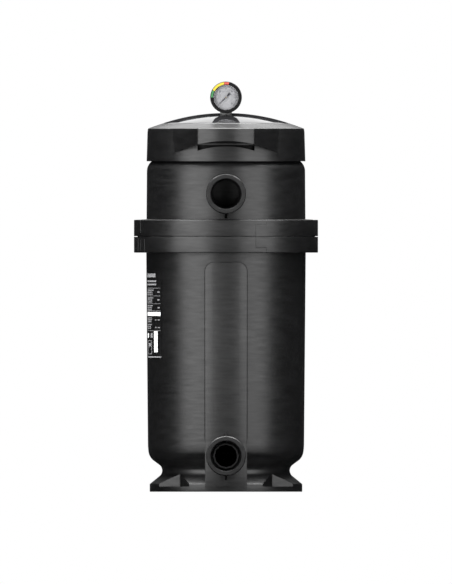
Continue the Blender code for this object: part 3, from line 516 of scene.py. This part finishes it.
def port_boss(name, z, inner_y):
    length = inner_y - PORT_FACE_Y
    profile = rounded([(0, length, 0), (38.2 * MM, length, 0.6 * MM),
                       (39.6 * MM, length - 1.4 * MM, 0.8 * MM), (40.2 * MM, 0, 0), (0, 0, 0)])
    return facing_front(lathe(name, profile, SMALL, closed=False), inner_y, z)


def port_bore(name, z, inner_y, seat_radius=26.5 * MM):
    """The socket with its lead-in and stop, the smaller hole and a seat at its inner end."""
    total = inner_y - PORT_FACE_Y
    stop = total - 38 * MM
    seat = 5.4 * MM
    profile = rounded([(0, total + 5 * MM, 0), (31.4 * MM, total + 5 * MM, 0), (31.4 * MM, total, 0.4 * MM),
                       (30.15 * MM, total - 1.5 * MM, 0.8 * MM), (30.15 * MM, stop, 0.3 * MM),
                       (26.5 * MM, stop - 5 * MM, 0.3 * MM), (26.5 * MM, seat, 0), (seat_radius, seat, 0),
                       (seat_radius, -8 * MM, 0), (0, -8 * MM, 0)])
    return facing_front(lathe(name, profile, SMALL, closed=False), inner_y, z)


def rib(name, half_width, near, far):
    (front, edge), (back, tip) = near, far
    outline = [(front * MM, edge * MM), (back * MM, edge * MM), (back * MM, tip * MM)]
    return soften(prism(name, outline, -half_width * MM, half_width * MM, "X"), 0.5 * MM)


def pocket(name, azimuth):
    """A V-shaped pocket in the foot around one anchor bolt."""
    apex, reach, corner = 129 * MM, 26 * MM, 6 * MM
    half = reach * 42.7 / 17.5
    outline = rounded([(apex, 0, corner), (apex + reach, -half, 0), (apex + reach, half, 0)], 8)
    return move(prism(name, outline, 10.4 * MM, 43 * MM), turn=(0, 0, azimuth - 90))


def bolt_hole(name, azimuth):
    x, y = around(140.5 * MM, azimuth)
    return move(disc(name, 5 * MM, -5 * MM, 20 * MM, 32), (x, y, 0))


def lower_body():
    body = lathe("lower_body_moulding", lower_profile(), closed=False)
    inner_y = -116 * MM
    boss = rounded([(0, 44 * MM, 0), (20.5 * MM, 44 * MM, 1 * MM), (22 * MM, 0, 0), (0, 0, 0)])
    drain_boss = facing_rear(lathe("drain_boss", boss, SMALL, closed=False), 116 * MM, DRAIN_Z)
    drain_bore = facing_rear(disc("drain_bore", 12 * MM, -33 * MM, 61 * MM, 48), 116 * MM, DRAIN_Z)
    cut(body, column_seam())
    join(body, column())
    join(body, port_boss("lower_boss", LOWER_PORT_Z, inner_y), drain_boss)
    join(body, gather("ribs", [rib("rib_above", 1.8, (-186, 110), (-160, 119.6)),
                               rib("rib_below", 1.8, (-186, 33), (-160, 21.6))]))
    corners = (45, 135, 225, 315)
    cut(body, gather("pockets", [pocket("pocket", a) for a in corners]))
    cut(body, gather("holes", [bolt_hole("bolt_hole", a) for a in corners] + [drain_bore]))
    cut(body, port_bore("lower_bore", LOWER_PORT_Z, inner_y, 30.8 * MM))
    piece(body, "lower_body_moulding", "tank", "housing_black", "lower_body")


def inlet_deflector():
    """The sloping plate that hangs behind the upper port."""
    plate = mm([(-151.5, 640), (-151.5, 637), (-143.7, 637), (-119.2, 566), (-116.6, 566), (-142.1, 640)])
    return prism("inlet_deflector", plate, -34 * MM, 34 * MM, "X")


def upper_body():
    low = PARTING_Z + 0.3 * MM
    centre = (132.2 * MM, 641 * MM)
    shoulder = arc(centre, 26 * MM, 60, 0, 14)
    inner = arc(centre, 17.5 * MM, 0, 72, 10)
    neck = rounded([(137.4 * MM, 600 * MM, 0), (137.4 * MM, 713.7 * MM, 1 * MM),
                    (145 * MM, 713.7 * MM, 1 * MM), (145 * MM, 665 * MM, 0)])[1:-1]
    flange = rounded([(158.2 * MM, 641 * MM, 0), (159 * MM, 531 * MM, 0.6 * MM),
                      (FLANGE_RADIUS, 528.7 * MM, 1 * MM), (FLANGE_RADIUS, low, 0.6 * MM),
                      (BORE_RADIUS, low, 0.5 * MM), (BORE_RADIUS, 600 * MM, 0)])[1:]
    body = lathe("upper_body_moulding", neck + shoulder + flange + inner)
    inner_y = -142 * MM
    join(body, port_boss("upper_boss", UPPER_PORT_Z, inner_y))
    join(body, rib("upper_rib", 2.9, (-186, 557.5), (-157, 546)))
    cut(body, port_bore("upper_bore", UPPER_PORT_Z, inner_y))
    join(body, inlet_deflector())
    piece(body, "upper_body_moulding", "tank", "housing_black", "upper_body")


# ---------------------------------------------------------------- clamp band

def band_section(inner, groove_depth):
    """Outer part of the band's section, with its rounded edges and its groove."""
    half = 0.6 * MM
    floor = BAND_RADIUS - groove_depth
    high, low = PARTING_Z + half, PARTING_Z - half
    return [(inner, BAND_HIGH, 0), (BAND_RADIUS, BAND_HIGH, 1.4 * MM), (BAND_RADIUS, high, 0.6 * MM),
            (floor, high, 0), (floor, low, 0), (BAND_RADIUS, low, 0.6 * MM),
            (BAND_RADIUS, BAND_LOW, 1.4 * MM), (inner, BAND_LOW, 0)]


def band_mark(azimuth, low, high):
    """A short raised index rib on the outside of the band."""
    outline = rounded([(BAND_RADIUS - 2 * MM, -1.1 * MM, 0), (BAND_RADIUS + 0.9 * MM, -1.1 * MM, 0.6 * MM),
                       (BAND_RADIUS + 0.9 * MM, 1.1 * MM, 0.6 * MM), (BAND_RADIUS - 2 * MM, 1.1 * MM, 0)], 3)
    return move(prism("mark", outline, low * MM, high * MM), turn=(0, 0, azimuth - 90))


def clamp_band():
    section = rounded(band_section(165 * MM, 7 * MM))[1:-1]
    section = [(160.2 * MM, BAND_HIGH + 1.2 * MM)] + section
    section += [(160.6 * MM, BAND_LOW), (160.6 * MM, 489.3 * MM), (168.8 * MM, 491.4 * MM),
                (168.8 * MM, 529.8 * MM), (160.2 * MM, 532 * MM)]
    band = lathe("band", section)
    marks = [band_mark(-68, 517.5, 541)]
    marks += [band_mark(azimuth, 481.5, 505.5) for azimuth in (-72.6, -68, -62.4)]
    join(band, gather("marks", marks))
    floor, far = 173.8 * MM, 190 * MM
    low, high = BAND_LOW - 5 * MM, BAND_HIGH + 5 * MM
    cut(band, prism("recess", sector(floor, far, 25.85, 107.4), low, high),
        prism("tongue", sector(floor, far, 18.85, 27), 487.4 * MM, 535 * MM),
        prism("knuckle", sector(floor - 0.2 * MM, far, 106, 115.4), 489.2 * MM, 533.2 * MM),
        prism("split", sector(150 * MM, far, 99.8, 101.2), low, high),
        prism("toe", sector(160 * MM, far, 95.0, 98.6), 499 * MM, 522 * MM))
    x, y = around(179.1 * MM, 113)
    cut(band, move(disc("pin_hole", 2.6 * MM, low, high, 32), (x, y, 0)))
    piece(band, "clamp_band_moulding", "tank", "band_black", "clamp_band")


def swept(name, section, start, end, step=1.5):
    """A solid with a closed (radius, height) section, swept between two azimuths."""
    count = math.ceil((end - start) / step)
    bm = bmesh.new()
    rows = []
    for i in range(count + 1):
        azimuth = start + (end - start) * i / count
        rows.append([bm.verts.new((*around(radius, azimuth), height)) for radius, height in section])
    for row, other in zip(rows, rows[1:]):
        for i in range(len(section)):
            j = (i + 1) % len(section)
            bm.faces.new((row[i], row[j], other[j], other[i]))
    bm.faces.new(rows[0])
    bm.faces.new(rows[-1])
    return from_bmesh(name, bm)


def clamp_lever():
    inner = 174.2 * MM
    section = rounded(band_section(inner, 7 * MM))
    lever = swept("lever", section, 26, 107)
    low, high = 487.8 * MM, 534.6 * MM
    tongue_section = rounded([(inner, high, 0), (BAND_RADIUS, high, 0.5 * MM),
                              (BAND_RADIUS, PARTING_Z + 0.6 * MM, 0),
                              (177 * MM, PARTING_Z + 0.6 * MM, 0), (177 * MM, PARTING_Z - 0.6 * MM, 0),
                              (BAND_RADIUS, PARTING_Z - 0.6 * MM, 0), (BAND_RADIUS, low, 0.5 * MM),
                              (inner, low, 0)])
    tongue = swept("tongue", tongue_section, 19, 26.6)
    neck = prism("neck", sector(inner, BAND_RADIUS, 106, 113), 489.6 * MM, 532.8 * MM)
    x, y = around(179.1 * MM, 113)
    knuckle = rounded([(0, 532.8 * MM, 0), (4.9 * MM, 532.8 * MM, 0.6 * MM), (4.9 * MM, 489.6 * MM, 0.6 * MM),
                       (0, 489.6 * MM, 0)])
    join(lever, tongue, neck, move(lathe("knuckle", knuckle, 48, closed=False), (x, y, 0)))
    link_x, link_y = around(176.9 * MM, 105)
    cut(lever, prism("pocket", sector(170 * MM, 180.8 * MM, 93.8, 108.2), 499 * MM, 522 * MM),
        move(disc("link_hole", 1.5 * MM, 495.5 * MM, 525.5 * MM, 24), (link_x, link_y, 0)),
        move(disc("pin_hole", 2.6 * MM, 470 * MM, 550 * MM, 32), (x, y, 0)))
    piece(lever, "clamp_lever_moulding", "clamp_lever", "band_black", "clamp_lever")


# ---------------------------------------------------------------- lid and lock ring

def dome(radius, apex, inner, outer, steps):
    centre = apex - radius
    points = []
    for i in range(steps + 1):
        r = inner + (outer - inner) * i / steps
        points.append((r, centre + math.sqrt(radius * radius - r * r)))
    return points


def lid():
    """The domed lid, with a spot face for the gauge and a boss for the relief valve."""
    seat = 754.4 * MM
    profile = dome(396 * MM, 757.5 * MM, 0, 124.6 * MM, 44)
    below = mm([(125.6, 736.6, 0.4), (125.6, 721.6, 0.8), (143.2, 721.6, 1), (143.2, 714.1, 0.8),
                (136.4, 714.1, 0.4), (136.4, 711.4, 0.3), (132.2, 711.4, 0), (132.2, 706.2, 0),
                (136.4, 706.2, 0.3), (136, 702, 0.8), (128, 702, 0.8), (118, 722, 3)])
    under = list(reversed(dome(387.5 * MM, 749 * MM, 0, 112 * MM, 24)))
    corners = [(*profile[-1], 0)] + below + [(*under[0], 0)]
    profile += rounded(corners)[1:-1] + under
    top = lathe("lid", profile, 256, closed=False)
    gauge_boss = move(disc("gauge_boss", 15.4 * MM, 744 * MM, seat), (0, STEM_Y, 0))
    spot_face = move(disc("spot_face", 15.4 * MM, seat, 770 * MM), (0, STEM_Y, 0))
    gauge_hole = move(disc("gauge_hole", 8.3 * MM, 730 * MM, 770 * MM, 48), (0, STEM_Y, 0))
    boss = move(disc("boss", 11 * MM, 744 * MM, 754.5 * MM, 64), (0, RELIEF_Y, 0))
    hole = move(disc("hole", 5.4 * MM, 730 * MM, 770 * MM, 48), (0, RELIEF_Y, 0))
    join(top, gauge_boss, boss)
    cut(top, spot_face, gauge_hole, hole)
    piece(top, "lid_dome", "lid", "lid_black", "lid")


def meet_radius(point, direction, radius):
    """The place nearest to a point where a plan line through it meets a circle about the axis."""
    middle = point.dot(direction)
    reach = math.sqrt(middle * middle - point.length_squared + radius * radius)
    return point + direction * min((-middle - reach, -middle + reach), key=abs)


def lobe_outline(inset, back_radius):
    """Plan outline of the front grip, moved inwards by inset and closed along a back arc."""
    corner_x, corner_y, front_y = 57 * MM, 190 * MM, 205 * MM
    bow = (corner_x ** 2 + (front_y - corner_y) ** 2) / (2 * (front_y - corner_y))
    centre = bow - front_y
    flank = Vector((corner_x - 104 * MM, -(corner_y - 118 * MM))).normalized()
    inward = Vector((flank.y, -flank.x)) * inset
    reach = bow - inset
    corner = Vector((corner_x, -corner_y)) + inward
    root = meet_radius(Vector((104 * MM, -118 * MM)) + inward, flank, back_radius)
    half = math.asin(corner.x / reach)
    front = [(reach * math.sin(half * i / 8), centre - reach * math.cos(half * i / 8)) for i in range(-8, 9)]
    front = [(*point, 0) for point in front[1:-1]]
    fillet = 11 * MM - inset
    corners = [(-root.x, root.y, 0), (-corner.x, corner.y, fillet)] + front
    corners += [(corner.x, corner.y, fillet), (root.x, root.y, 0)]
    start = math.degrees(math.atan2(root.x, -root.y))
    back = [around(back_radius, start - 2 * start * i / 40) for i in range(1, 40)]
    return rounded(corners, 8) + back


def grip_lobe():
    """One hollow hand grip, open underneath, with an arched lower edge and a rounded top edge."""
    lobe = prism("lobe", lobe_outline(0, 153 * MM), 655 * MM, 726.4 * MM)
    soften(lobe, 2.4 * MM, 40, 4)
    arch = facing_front(disc("arch", 235 * MM, -120 * MM, 260 * MM, 256), 0, (701.6 - 235) * MM)
    hollow = prism("hollow", lobe_outline(5.5 * MM, 159.4 * MM), 600 * MM, 719.4 * MM)
    cut(lobe, arch)
    soften(lobe, 3.6 * MM, 60, 4)
    return cut(lobe, hollow)


def finger_window():
    """The recess in the ring behind a grip, bowed below, with a back that leans over a narrow band."""
    half, bow, low = 57 * MM, 190 * MM, 690.7 * MM
    angle = math.degrees(math.asin(half / bow))
    outline = arc((0, low - bow), bow, 90 + angle, 90 - angle, 24)
    outline += [(half, 714 * MM), (-half, 714 * MM)]
    window = prism("window", outline, -175 * MM, -100 * MM, "Y")
    back = mm([(0, 650), (147, 650), (147, 682), (150.5, 690.7), (152.3, 693.5), (152.3, 696.7),
               (157.4, 704.2), (157.4, 730), (0, 730)])
    return cut(window, lathe("window_back", back, FINE, closed=False))


def lock_ring():
    """The threaded ring that holds the lid down, with a grip at the front and at the back."""
    corners = mm([(126.5, 736.9, 0.3), (152, 728, 3), (156, 726.2, 2.5), (157, 719.5, 0),
                  (158.7, 661.5, 0), (158.7, 660.9, 0.5), (150.6, 660.9, 0.5), (146.2, 667, 0.5),
                  (146.2, 724, 0.3), (126.5, 724, 0.3)])
    ring = lathe("ring", rounded(corners, 5))
    front = grip_lobe()
    rear = copy_turned(front, "rear_lobe", 180)
    join(ring, front, rear)
    window = finger_window()
    cut(ring, window, copy_turned(window, "rear_window", 180))
    piece(ring, "lock_ring_moulding", "lock_ring", "ring_black", "lock_ring")


def turned_piece(name, body, slot, node, corners, place=None, segments=SMALL, closed=True):
    """A small turned piece from millimetre corners."""
    obj = lathe(name, rounded(mm(corners)), segments, closed)
    if place is not None:
        place(obj)
    return piece(obj, name, body, slot, node)


def seal_ring(name, body, node, radius, thickness, z):
    section = arc((radius * MM, z * MM), thickness / 2 * MM, 0, 345, 15)
    piece(lathe(name, section), name, body, "seal_rubber", node)


# ---------------------------------------------------------------- gauge and relief valve

def at_gauge(y):
    return lambda obj: facing_front(obj, y, GAUGE_Z)


def gauge_case():
    corners = [(0, 3, 0), (25.9, 3, 0), (25.9, 26, 0.3), (28.5, 26, 0.3), (28.5, 0, 2), (0, 0, 0)]
    case = facing_front(lathe("case", rounded(mm(corners)), SMALL, closed=False), GAUGE_BACK_Y, GAUGE_Z)
    join(case, move(disc("stem", 4 * MM, 749 * MM, GAUGE_Z - 26.5 * MM, 32), (0, STEM_Y, 0)))
    piece(case, "gauge_housing", "lid", "gauge_black", "gauge_case")


def gauge_bezel():
    corners = [(24.9, 10.5, 0.6), (31.75, 10.5, 1.2), (31.75, 0, 0.6), (29, 0, 0), (29, 8.4, 0),
               (24.9, 8.4, 0.3)]
    turned_piece("gauge_outer_ring", "gauge_bezel", "bezel_black_marked", "gauge_bezel", corners,
                 at_gauge(GAUGE_FRONT_Y + 6 * MM))


def ring_patch(name, inner, outer, start, end, low, high):
    """Part of a thin flat ring on the gauge's face. Angles run clockwise from the top."""
    count = max(2, math.ceil((end - start) / 3))
    angles = [math.radians(start + (end - start) * i / count) for i in range(count + 1)]
    outline = [(outer * math.sin(a), outer * math.cos(a)) for a in angles]
    outline += [(inner * math.sin(a), inner * math.cos(a)) for a in reversed(angles)]
    outline = [(u * MM, v * MM + GAUGE_Z) for u, v in outline]
    return prism(name, outline, low, high, "Y")


def bezel_marks():
    """Coloured paint on the ring: the clean, watch and service ranges."""
    face = GAUGE_FRONT_Y - 4.5 * MM
    bands = (("green", -90, -62, (0.03, 0.16, 0.05)), ("yellow", -61, -8, (0.55, 0.42, 0.03)),
             ("red", -7, 12, (0.42, 0.06, 0.04)))
    for name, start, end, colour in bands:
        patch = ring_patch(name, 26.0, 30.4, start, end, face - 0.12 * MM, face + 0.1 * MM)
        paint = ink("paint_" + name, colour)
        print_piece(patch, "bezel_mark_" + name, "gauge_bezel", "bezel_black_marked", paint)


def number(text, radius, angle, height):
    """A numeral on the dial, upright, as a flat mesh."""
    curve = bpy.data.curves.new("numeral", "FONT")
    curve.body = text
    curve.size = height
    curve.align_x = "CENTER"
    curve.align_y = "CENTER"
    curve.extrude = 0.06 * MM
    curve.resolution_u = 3
    obj = bpy.data.objects.new("numeral", curve)
    bpy.context.scene.collection.objects.link(obj)
    bpy.context.view_layer.update()
    mesh = bpy.data.meshes.new_from_object(obj.evaluated_get(bpy.context.evaluated_depsgraph_get()))
    bpy.data.objects.remove(obj, do_unlink=True)
    result = bpy.data.objects.new("numeral", mesh)
    bpy.context.scene.collection.objects.link(result)
    a = math.radians(angle)
    return move(result, (radius * math.sin(a), DIAL_Y - 0.8 * MM, GAUGE_Z + radius * math.cos(a)), (90, 0, 0))


def dial_print():
    """Two scale lines, their ticks and numerals on the dial."""
    face = DIAL_Y - 0.8 * MM
    low, high = face - 0.06 * MM, face + 0.02 * MM
    start, sweep, divisions = -135, 270, 30
    marks = [ring_patch("scale", 20.6, 21.0, start, -start, low, high),
             ring_patch("inner_scale", 11.9, 12.15, start, -start, low, high)]
    for i in range(divisions + 1):
        angle = start + sweep * i / divisions
        major = i % 5 == 0
        width, outer = (0.9, 23.9) if major else (0.5, 22.6)
        marks.append(ring_patch("tick", 21.1, outer, angle - width, angle + width, low, high))
        if major:
            marks.append(number(str(2 * i), 17.0 * MM, angle, 3.6 * MM))
    obj = gather("dial_print", marks)
    print_piece(obj, "dial_print", "lid", "dial_pale", ink("dial_ink", (0.03, 0.03, 0.05)))


def gauge_needle():
    """A pointer with a wide counterweight, at rest at the lower left of the dial."""
    right = arc((0, 0), 3.2, 70, -60, 13)
    left = [(-u, v) for u, v in reversed(right)]
    tail = [(1.3, -2.9), (2.5, -11.0), (-2.5, -11.0), (-1.3, -2.9)]
    tip = [(-0.3, 18.5), (0.3, 18.5)]
    needle = prism("needle", mm(right + tail + left + tip), -0.4 * MM, 0.4 * MM, "Y")
    soften(needle, 0.15 * MM, 60, 1)
    move(needle, (0, NEEDLE_Y, GAUGE_Z), (0, -135, 0))
    piece(needle, "gauge_pointer", "gauge_needle", "needle_dark", "gauge_needle")
    profile = rounded(mm([(0, 0.9, 0), (3.4, 0.9, 0.4), (3.4, 0.4, 0), (0, 0.4, 0)]))
    cap = facing_front(lathe("cap", profile, 48, closed=False), NEEDLE_Y, GAUGE_Z)
    print_piece(cap, "gauge_pointer_cap", "gauge_needle", "needle_dark", ink("cap_paint", (0.34, 0.34, 0.35)))


def relief_knob():
    corners = [(0, 775, 0), (11, 775, 1.6), (11, 761, 1), (3.5, 761, 0), (3.5, 769.6, 0), (0, 769.6, 0)]
    profile = rounded(mm(corners))
    knob = move(lathe("knob", profile, SMALL, closed=False), (0, RELIEF_Y, 0))
    flutes = []
    for i in range(8):
        x, y = around(12.2 * MM, 45 * (i + 0.5))
        flutes.append(move(disc("flute", 2.2 * MM, 759 * MM, 778 * MM, 24), (x, RELIEF_Y + y, 0)))
    cut(knob, gather("flutes", flutes))
    soften(knob, 0.4 * MM, 40)
    piece(knob, "air_relief_handle", "air_relief_knob", "gauge_black", "air_relief_knob")


def at_drain(obj):
    return facing_rear(obj, DRAIN_FACE_Y, DRAIN_Z)


def drain_plug():
    corners = [(0, 9.8, 0), (19.5, 9.8, 1.6), (19.5, 2.8, 0.8), (11.4, 2.8, 0), (11.4, -26, 1), (0, -26, 0)]
    profile = rounded(mm(corners))
    plug = at_drain(lathe("plug", profile, SMALL, closed=False))
    outline = rounded(mm([(-15, 4, 0), (15, 4, 0), (15, 19.8, 5), (-15, 19.8, 5)]), 6)
    wing = prism("wing", outline, -3.2 * MM, 3.2 * MM, "Y")
    soften(wing, 0.9 * MM, 40)
    join(plug, at_drain(wing))
    piece(plug, "drain_plug_moulding", "drain_plug", "gauge_black", "drain_plug")


# ---------------------------------------------------------------- label

def wall_radius(z):
    """Outer radius of the lower body's wall at a height."""
    share = (z - 98 * MM) / (478 * MM - 98 * MM)
    return 156.2 * MM + share * 3.3 * MM


def curved_patch(bm, start, end, low, high, inner, thickness, steps=None):
    """A thin closed patch on the lower body's wall, between azimuths and heights."""
    count = steps or max(1, math.ceil((end - start) / 2))
    shells = []
    for lift in (inner, inner + thickness):
        rows = []
        for z in (low, high):
            radius = wall_radius(z) + lift
            angles = [start + (end - start) * i / count for i in range(count + 1)]
            rows.append([bm.verts.new((*around(radius, a), z)) for a in angles])
        shells.append(rows)
    (a, b), (c, d) = shells
    for i in range(count):
        bm.faces.new((a[i], a[i + 1], b[i + 1], b[i]))
        bm.faces.new((c[i], d[i], d[i + 1], c[i + 1]))
        bm.faces.new((a[i], c[i], c[i + 1], a[i + 1]))
        bm.faces.new((b[i], b[i + 1], d[i + 1], d[i]))
    for i in (0, count):
        bm.faces.new((a[i], b[i], d[i], c[i]))


def label_film():
    low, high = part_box("rating_label")
    bm = bmesh.new()
    curved_patch(bm, LABEL_START, LABEL_END, low.z, high.z, GAP, LABEL_FILM)
    film = from_bmesh("label", bm)
    piece(film, "rating_label_film", "tank", "label_print", "rating_label")


def bar(bm, start, end, middle, height):
    """A printed bar on the label: azimuths in degrees, heights in millimetres."""
    low, high = (middle - height / 2) * MM, (middle + height / 2) * MM
    curved_patch(bm, start, end, low, high, GAP + LABEL_FILM, LABEL_INK)


def label_rows(bm, left, right):
    """Bars where a rating plate has its heading, three ruled blocks of text and two columns."""
    bar(bm, left, left + 18, 432.6, 7.5)
    bar(bm, left + 0.5, left + 19, 421.2, 3.4)
    bar(bm, left + 0.5, left + 19, 414.6, 3.2)
    for row in range(3):
        top = 405.4 - 15.6 * row
        bar(bm, left + 0.5, right, top + 1.9, 0.7)
        for line in range(3):
            bar(bm, left, left + (15, 13, 13)[line] - row, top - 2.2 - 4 * line, 1.9)
        bar(bm, right - 4, right - 1, top - 6, 2.4)
    bar(bm, left + 0.5, right, 361.8, 0.7)
    for line in range(6):
        middle = 347.6 - 3.7 * line - (2 if line > 2 else 0)
        bar(bm, left, left + (11, 11, 10, 11, 9, 9)[line], middle, 1.9)
    for middle in (343.6, 328.4):
        bar(bm, left + 17, left + 19, middle, 2)
        bar(bm, left + 21, left + 23.5, middle, 2)


def label_frames(bm, left, right):
    """The open box and the rules in the lower part of the plate."""
    bar(bm, left + 0.5, right, 322.4, 0.8)
    bar(bm, left + 8.5, left + 12.5, 312.6, 9.4)
    for edge in (left + 1.5, left + 10):
        bar(bm, edge, edge + 0.7, 289, 26)
    for middle in (302.3, 275.8):
        bar(bm, left + 1.5, left + 10.7, middle, 0.9)
    bar(bm, left + 4, left + 8.6, 294, 7)
    bar(bm, left + 0.5, right + 0.4, 269.6, 2.4)


def label_marks():
    """Generic grey bars for the text, rules and tables, and the plate's solid white parts."""
    left, right = LABEL_START + 2, LABEL_END - 1
    text, solid = bmesh.new(), bmesh.new()
    label_rows(text, left, right)
    label_frames(text, left, right)
    bar(solid, left, right, 355.6, 7.6)
    bar(solid, left, left + 4, 312.6, 9.4)
    bar(solid, left + 15, left + 20.5, 300, 42)
    grey, white = ink("label_ink", (0.18, 0.18, 0.185)), ink("label_white", (0.62, 0.63, 0.63))
    print_piece(from_bmesh("label_marks", text), "rating_label_marks", "tank", "label_print", grey)
    print_piece(from_bmesh("label_fields", solid), "rating_label_fields", "tank", "label_print", white)


# ---------------------------------------------------------------- cartridge

def pleats():
    """Fabric folded around the core, with the two bands that hold the folds."""
    count, per_fold = 108, 8
    low = CARTRIDGE_LOW + CAP_THICKNESS + GAP
    high = CARTRIDGE_HIGH - CAP_THICKNESS - GAP
    total = count * per_fold
    bm = bmesh.new()
    rows = []
    for z, inner in ((low, False), (high, False), (high, True), (low, True)):
        row = []
        for i in range(total):
            fold = 0.5 + 0.5 * math.cos(2 * math.pi * i / per_fold)
            radius = 44 * MM if inner else 97 * MM + 12.6 * MM * fold ** 0.7
            row.append(bm.verts.new((*around(radius, 360 * i / total), z)))
        rows.append(row)
    for row, other in zip(rows, rows[1:] + rows[:1]):
        for i in range(total):
            j = (i + 1) % total
            bm.faces.new((row[i], row[j], other[j], other[i]))
    media = from_bmesh("pleats", bm)
    piece(media, "cartridge_pleats", "cartridge", "pleated_fabric", "cartridge_media", angle=60)
    for i, share in enumerate((0.33, 0.67)):
        z = (low + (high - low) * share) / MM
        corners = [(109.4, z + 9, 0), (110.6, z + 9, 0.3), (110.6, z - 9, 0.3), (109.4, z - 9, 0)]
        strap = lathe("strap", rounded(mm(corners)))
        piece(strap, "cartridge_strap_%d" % (i + 1), "cartridge", "pleated_fabric")


def cartridge_caps():
    """Moulded end caps with a raised rim and concentric steps."""
    caps = (("cartridge_bottom_cap", CARTRIDGE_LOW, -1), ("cartridge_top_cap", CARTRIDGE_HIGH, 1))
    for node, low, up in caps:
        outer = [(36, 0, 1), (46, 0, 0.6), (48, -1.6, 0.6), (100, -1.6, 0.6), (102, 0, 0.6), (114, 0, 2.5),
                 (114, -12, 1), (36, -12, 0.6)]
        profile = rounded([(r * MM, low + up * h * MM, f * MM) for r, h, f in outer])
        piece(lathe(node, profile), node + "_moulding", "cartridge", "cap_grey", node)


# ---------------------------------------------------------------- stage

def finish_cad_nodes():
    """Give each CAD node that still shows its slot's finish."""
    slots = {entry["node"]: entry["material_slot"] for entry in frame["record"]["subparts"]}
    for name, obj in frame["nodes"].items():
        for holder in obj.material_slots:
            holder.material = FINISHES[slots[name]]


def area_light(name, place, aim, width, height, radiance):
    """A softbox of that radiance. The camera doesn't see it."""
    data = bpy.data.lights.new(name, "AREA")
    data.shape = "RECTANGLE"
    data.size = width
    data.size_y = height
    data.energy = radiance * width * height * math.pi
    obj = bpy.data.objects.new(name, data)
    bpy.context.scene.collection.objects.link(obj)
    obj.location = place
    obj.rotation_euler = (Vector(aim) - Vector(place)).to_track_quat("-Z", "Y").to_euler()
    obj.visible_camera = False
    return obj


def strip_box(name, azimuth, distance, width, low, high, radiance):
    """An upright softbox in front, at an azimuth from the object's axis."""
    x, y = around(distance, azimuth)
    middle = (low + high) / 2
    return area_light(name, (x, y, middle), (0, 0, middle), width, high - low, radiance)


def lights():
    """Two upright softboxes and a weaker one in front, a tilted panel behind and one overhead."""
    strip_box("softbox_left", -43, 2.2, 1.9, -0.25, 2.4, 4.1)
    strip_box("softbox_right", 40, 2.2, 1.7, -0.25, 2.4, 3.3)
    strip_box("fill_front", -3, 3.0, 1.0, -0.25, 2.4, 0.85)
    area_light("panel_behind", (0, 2.27, 2.31), (0, 0.91, 0.21), 2.6, 1.5, 2.5)
    area_light("overhead", (0, 0.1, 3.1), (0, 0.1, 0.75), 4.0, 2.2, 18.0)


def world():
    """White to the camera and nearly dark to the object, as with a lit backdrop far behind."""
    scene_world = bpy.data.worlds.new("studio")
    bpy.context.scene.world = scene_world
    scene_world.use_nodes = True
    tree = scene_world.node_tree
    tree.nodes.clear()
    out = tree.nodes.new("ShaderNodeOutputWorld")
    path = tree.nodes.new("ShaderNodeLightPath")
    mix = tree.nodes.new("ShaderNodeMixShader")
    dim, white = tree.nodes.new("ShaderNodeBackground"), tree.nodes.new("ShaderNodeBackground")
    dim.inputs["Color"].default_value = (0.9, 0.95, 1.0, 1)
    dim.inputs["Strength"].default_value = 0.015
    white.inputs["Strength"].default_value = 1.0
    white.inputs["Color"].default_value = (1, 1, 1, 1)
    tree.links.new(path.outputs["Is Camera Ray"], mix.inputs["Fac"])
    tree.links.new(dim.outputs["Background"], mix.inputs[1])
    tree.links.new(white.outputs["Background"], mix.inputs[2])
    tree.links.new(mix.outputs["Shader"], out.inputs["Surface"])


def floor():
    """A pale floor, which the level camera sees edge on."""
    bm = bmesh.new()
    bmesh.ops.create_grid(bm, x_segments=8, y_segments=8, size=6.0)
    ground = from_bmesh("floor", bm)
    mat, tree, shader = new_material("floor_pale", 0.8)
    colour = tint(tree, noise(tree, 3.0, 3.0), (0.8, 0.8, 0.8), (0.84, 0.84, 0.84))
    tree.links.new(colour, shader.inputs["Base Color"])
    ground.data.materials.append(mat)
    ground.visible_glossy = False
    ground.visible_shadow = False
    ground.location.z = -0.2 * MM


def camera():
    """A level orthographic view from the front."""
    data = bpy.data.cameras.new("camera")
    data.type = "ORTHO"
    data.ortho_scale = 1.168
    data.clip_end = 30
    obj = bpy.data.objects.new("camera", data)
    bpy.context.scene.collection.objects.link(obj)
    obj.location = (0, -4.0, 0.3995)
    obj.rotation_euler = (math.radians(90), 0, 0)
    bpy.context.scene.camera = obj
    bpy.context.scene.view_settings.view_transform = "Standard"


camera()
world()
lights()
floor()
finish_cad_nodes()
lower_body()
upper_body()
clamp_band()
clamp_lever()
lid()
lock_ring()
turned_piece("slip_washer", "lid", "slip_ring_white", "slip_ring",
             [(127.4, 723.6, 0.3), (143, 723.6, 0.3), (143, 722, 0.3), (127.4, 722, 0.3)], segments=FINE)
seal_ring("lid_o_ring", "lid", "lid_seal", 134.5, 3.8, 708.8)
gauge_case()
gauge_bezel()
bezel_marks()
turned_piece("gauge_dial_plate", "lid", "dial_pale", "gauge_dial",
             [(1.8, 0.8, 0), (25.4, 0.8, 0.2), (25.4, 0, 0.1), (1.8, 0, 0)], at_gauge(DIAL_Y))
dial_print()
gauge_needle()
turned_piece("gauge_window_disc", "lid", "gauge_window", "gauge_lens",
             [(0, 1.6, 0), (28.2, 1.6, 0.4), (28.2, 0, 0.2), (0, 0, 0)], at_gauge(GAUGE_FRONT_Y - GAP),
             closed=False)
relief_knob()
drain_plug()
label_film()
label_marks()
pleats()
cartridge_caps()
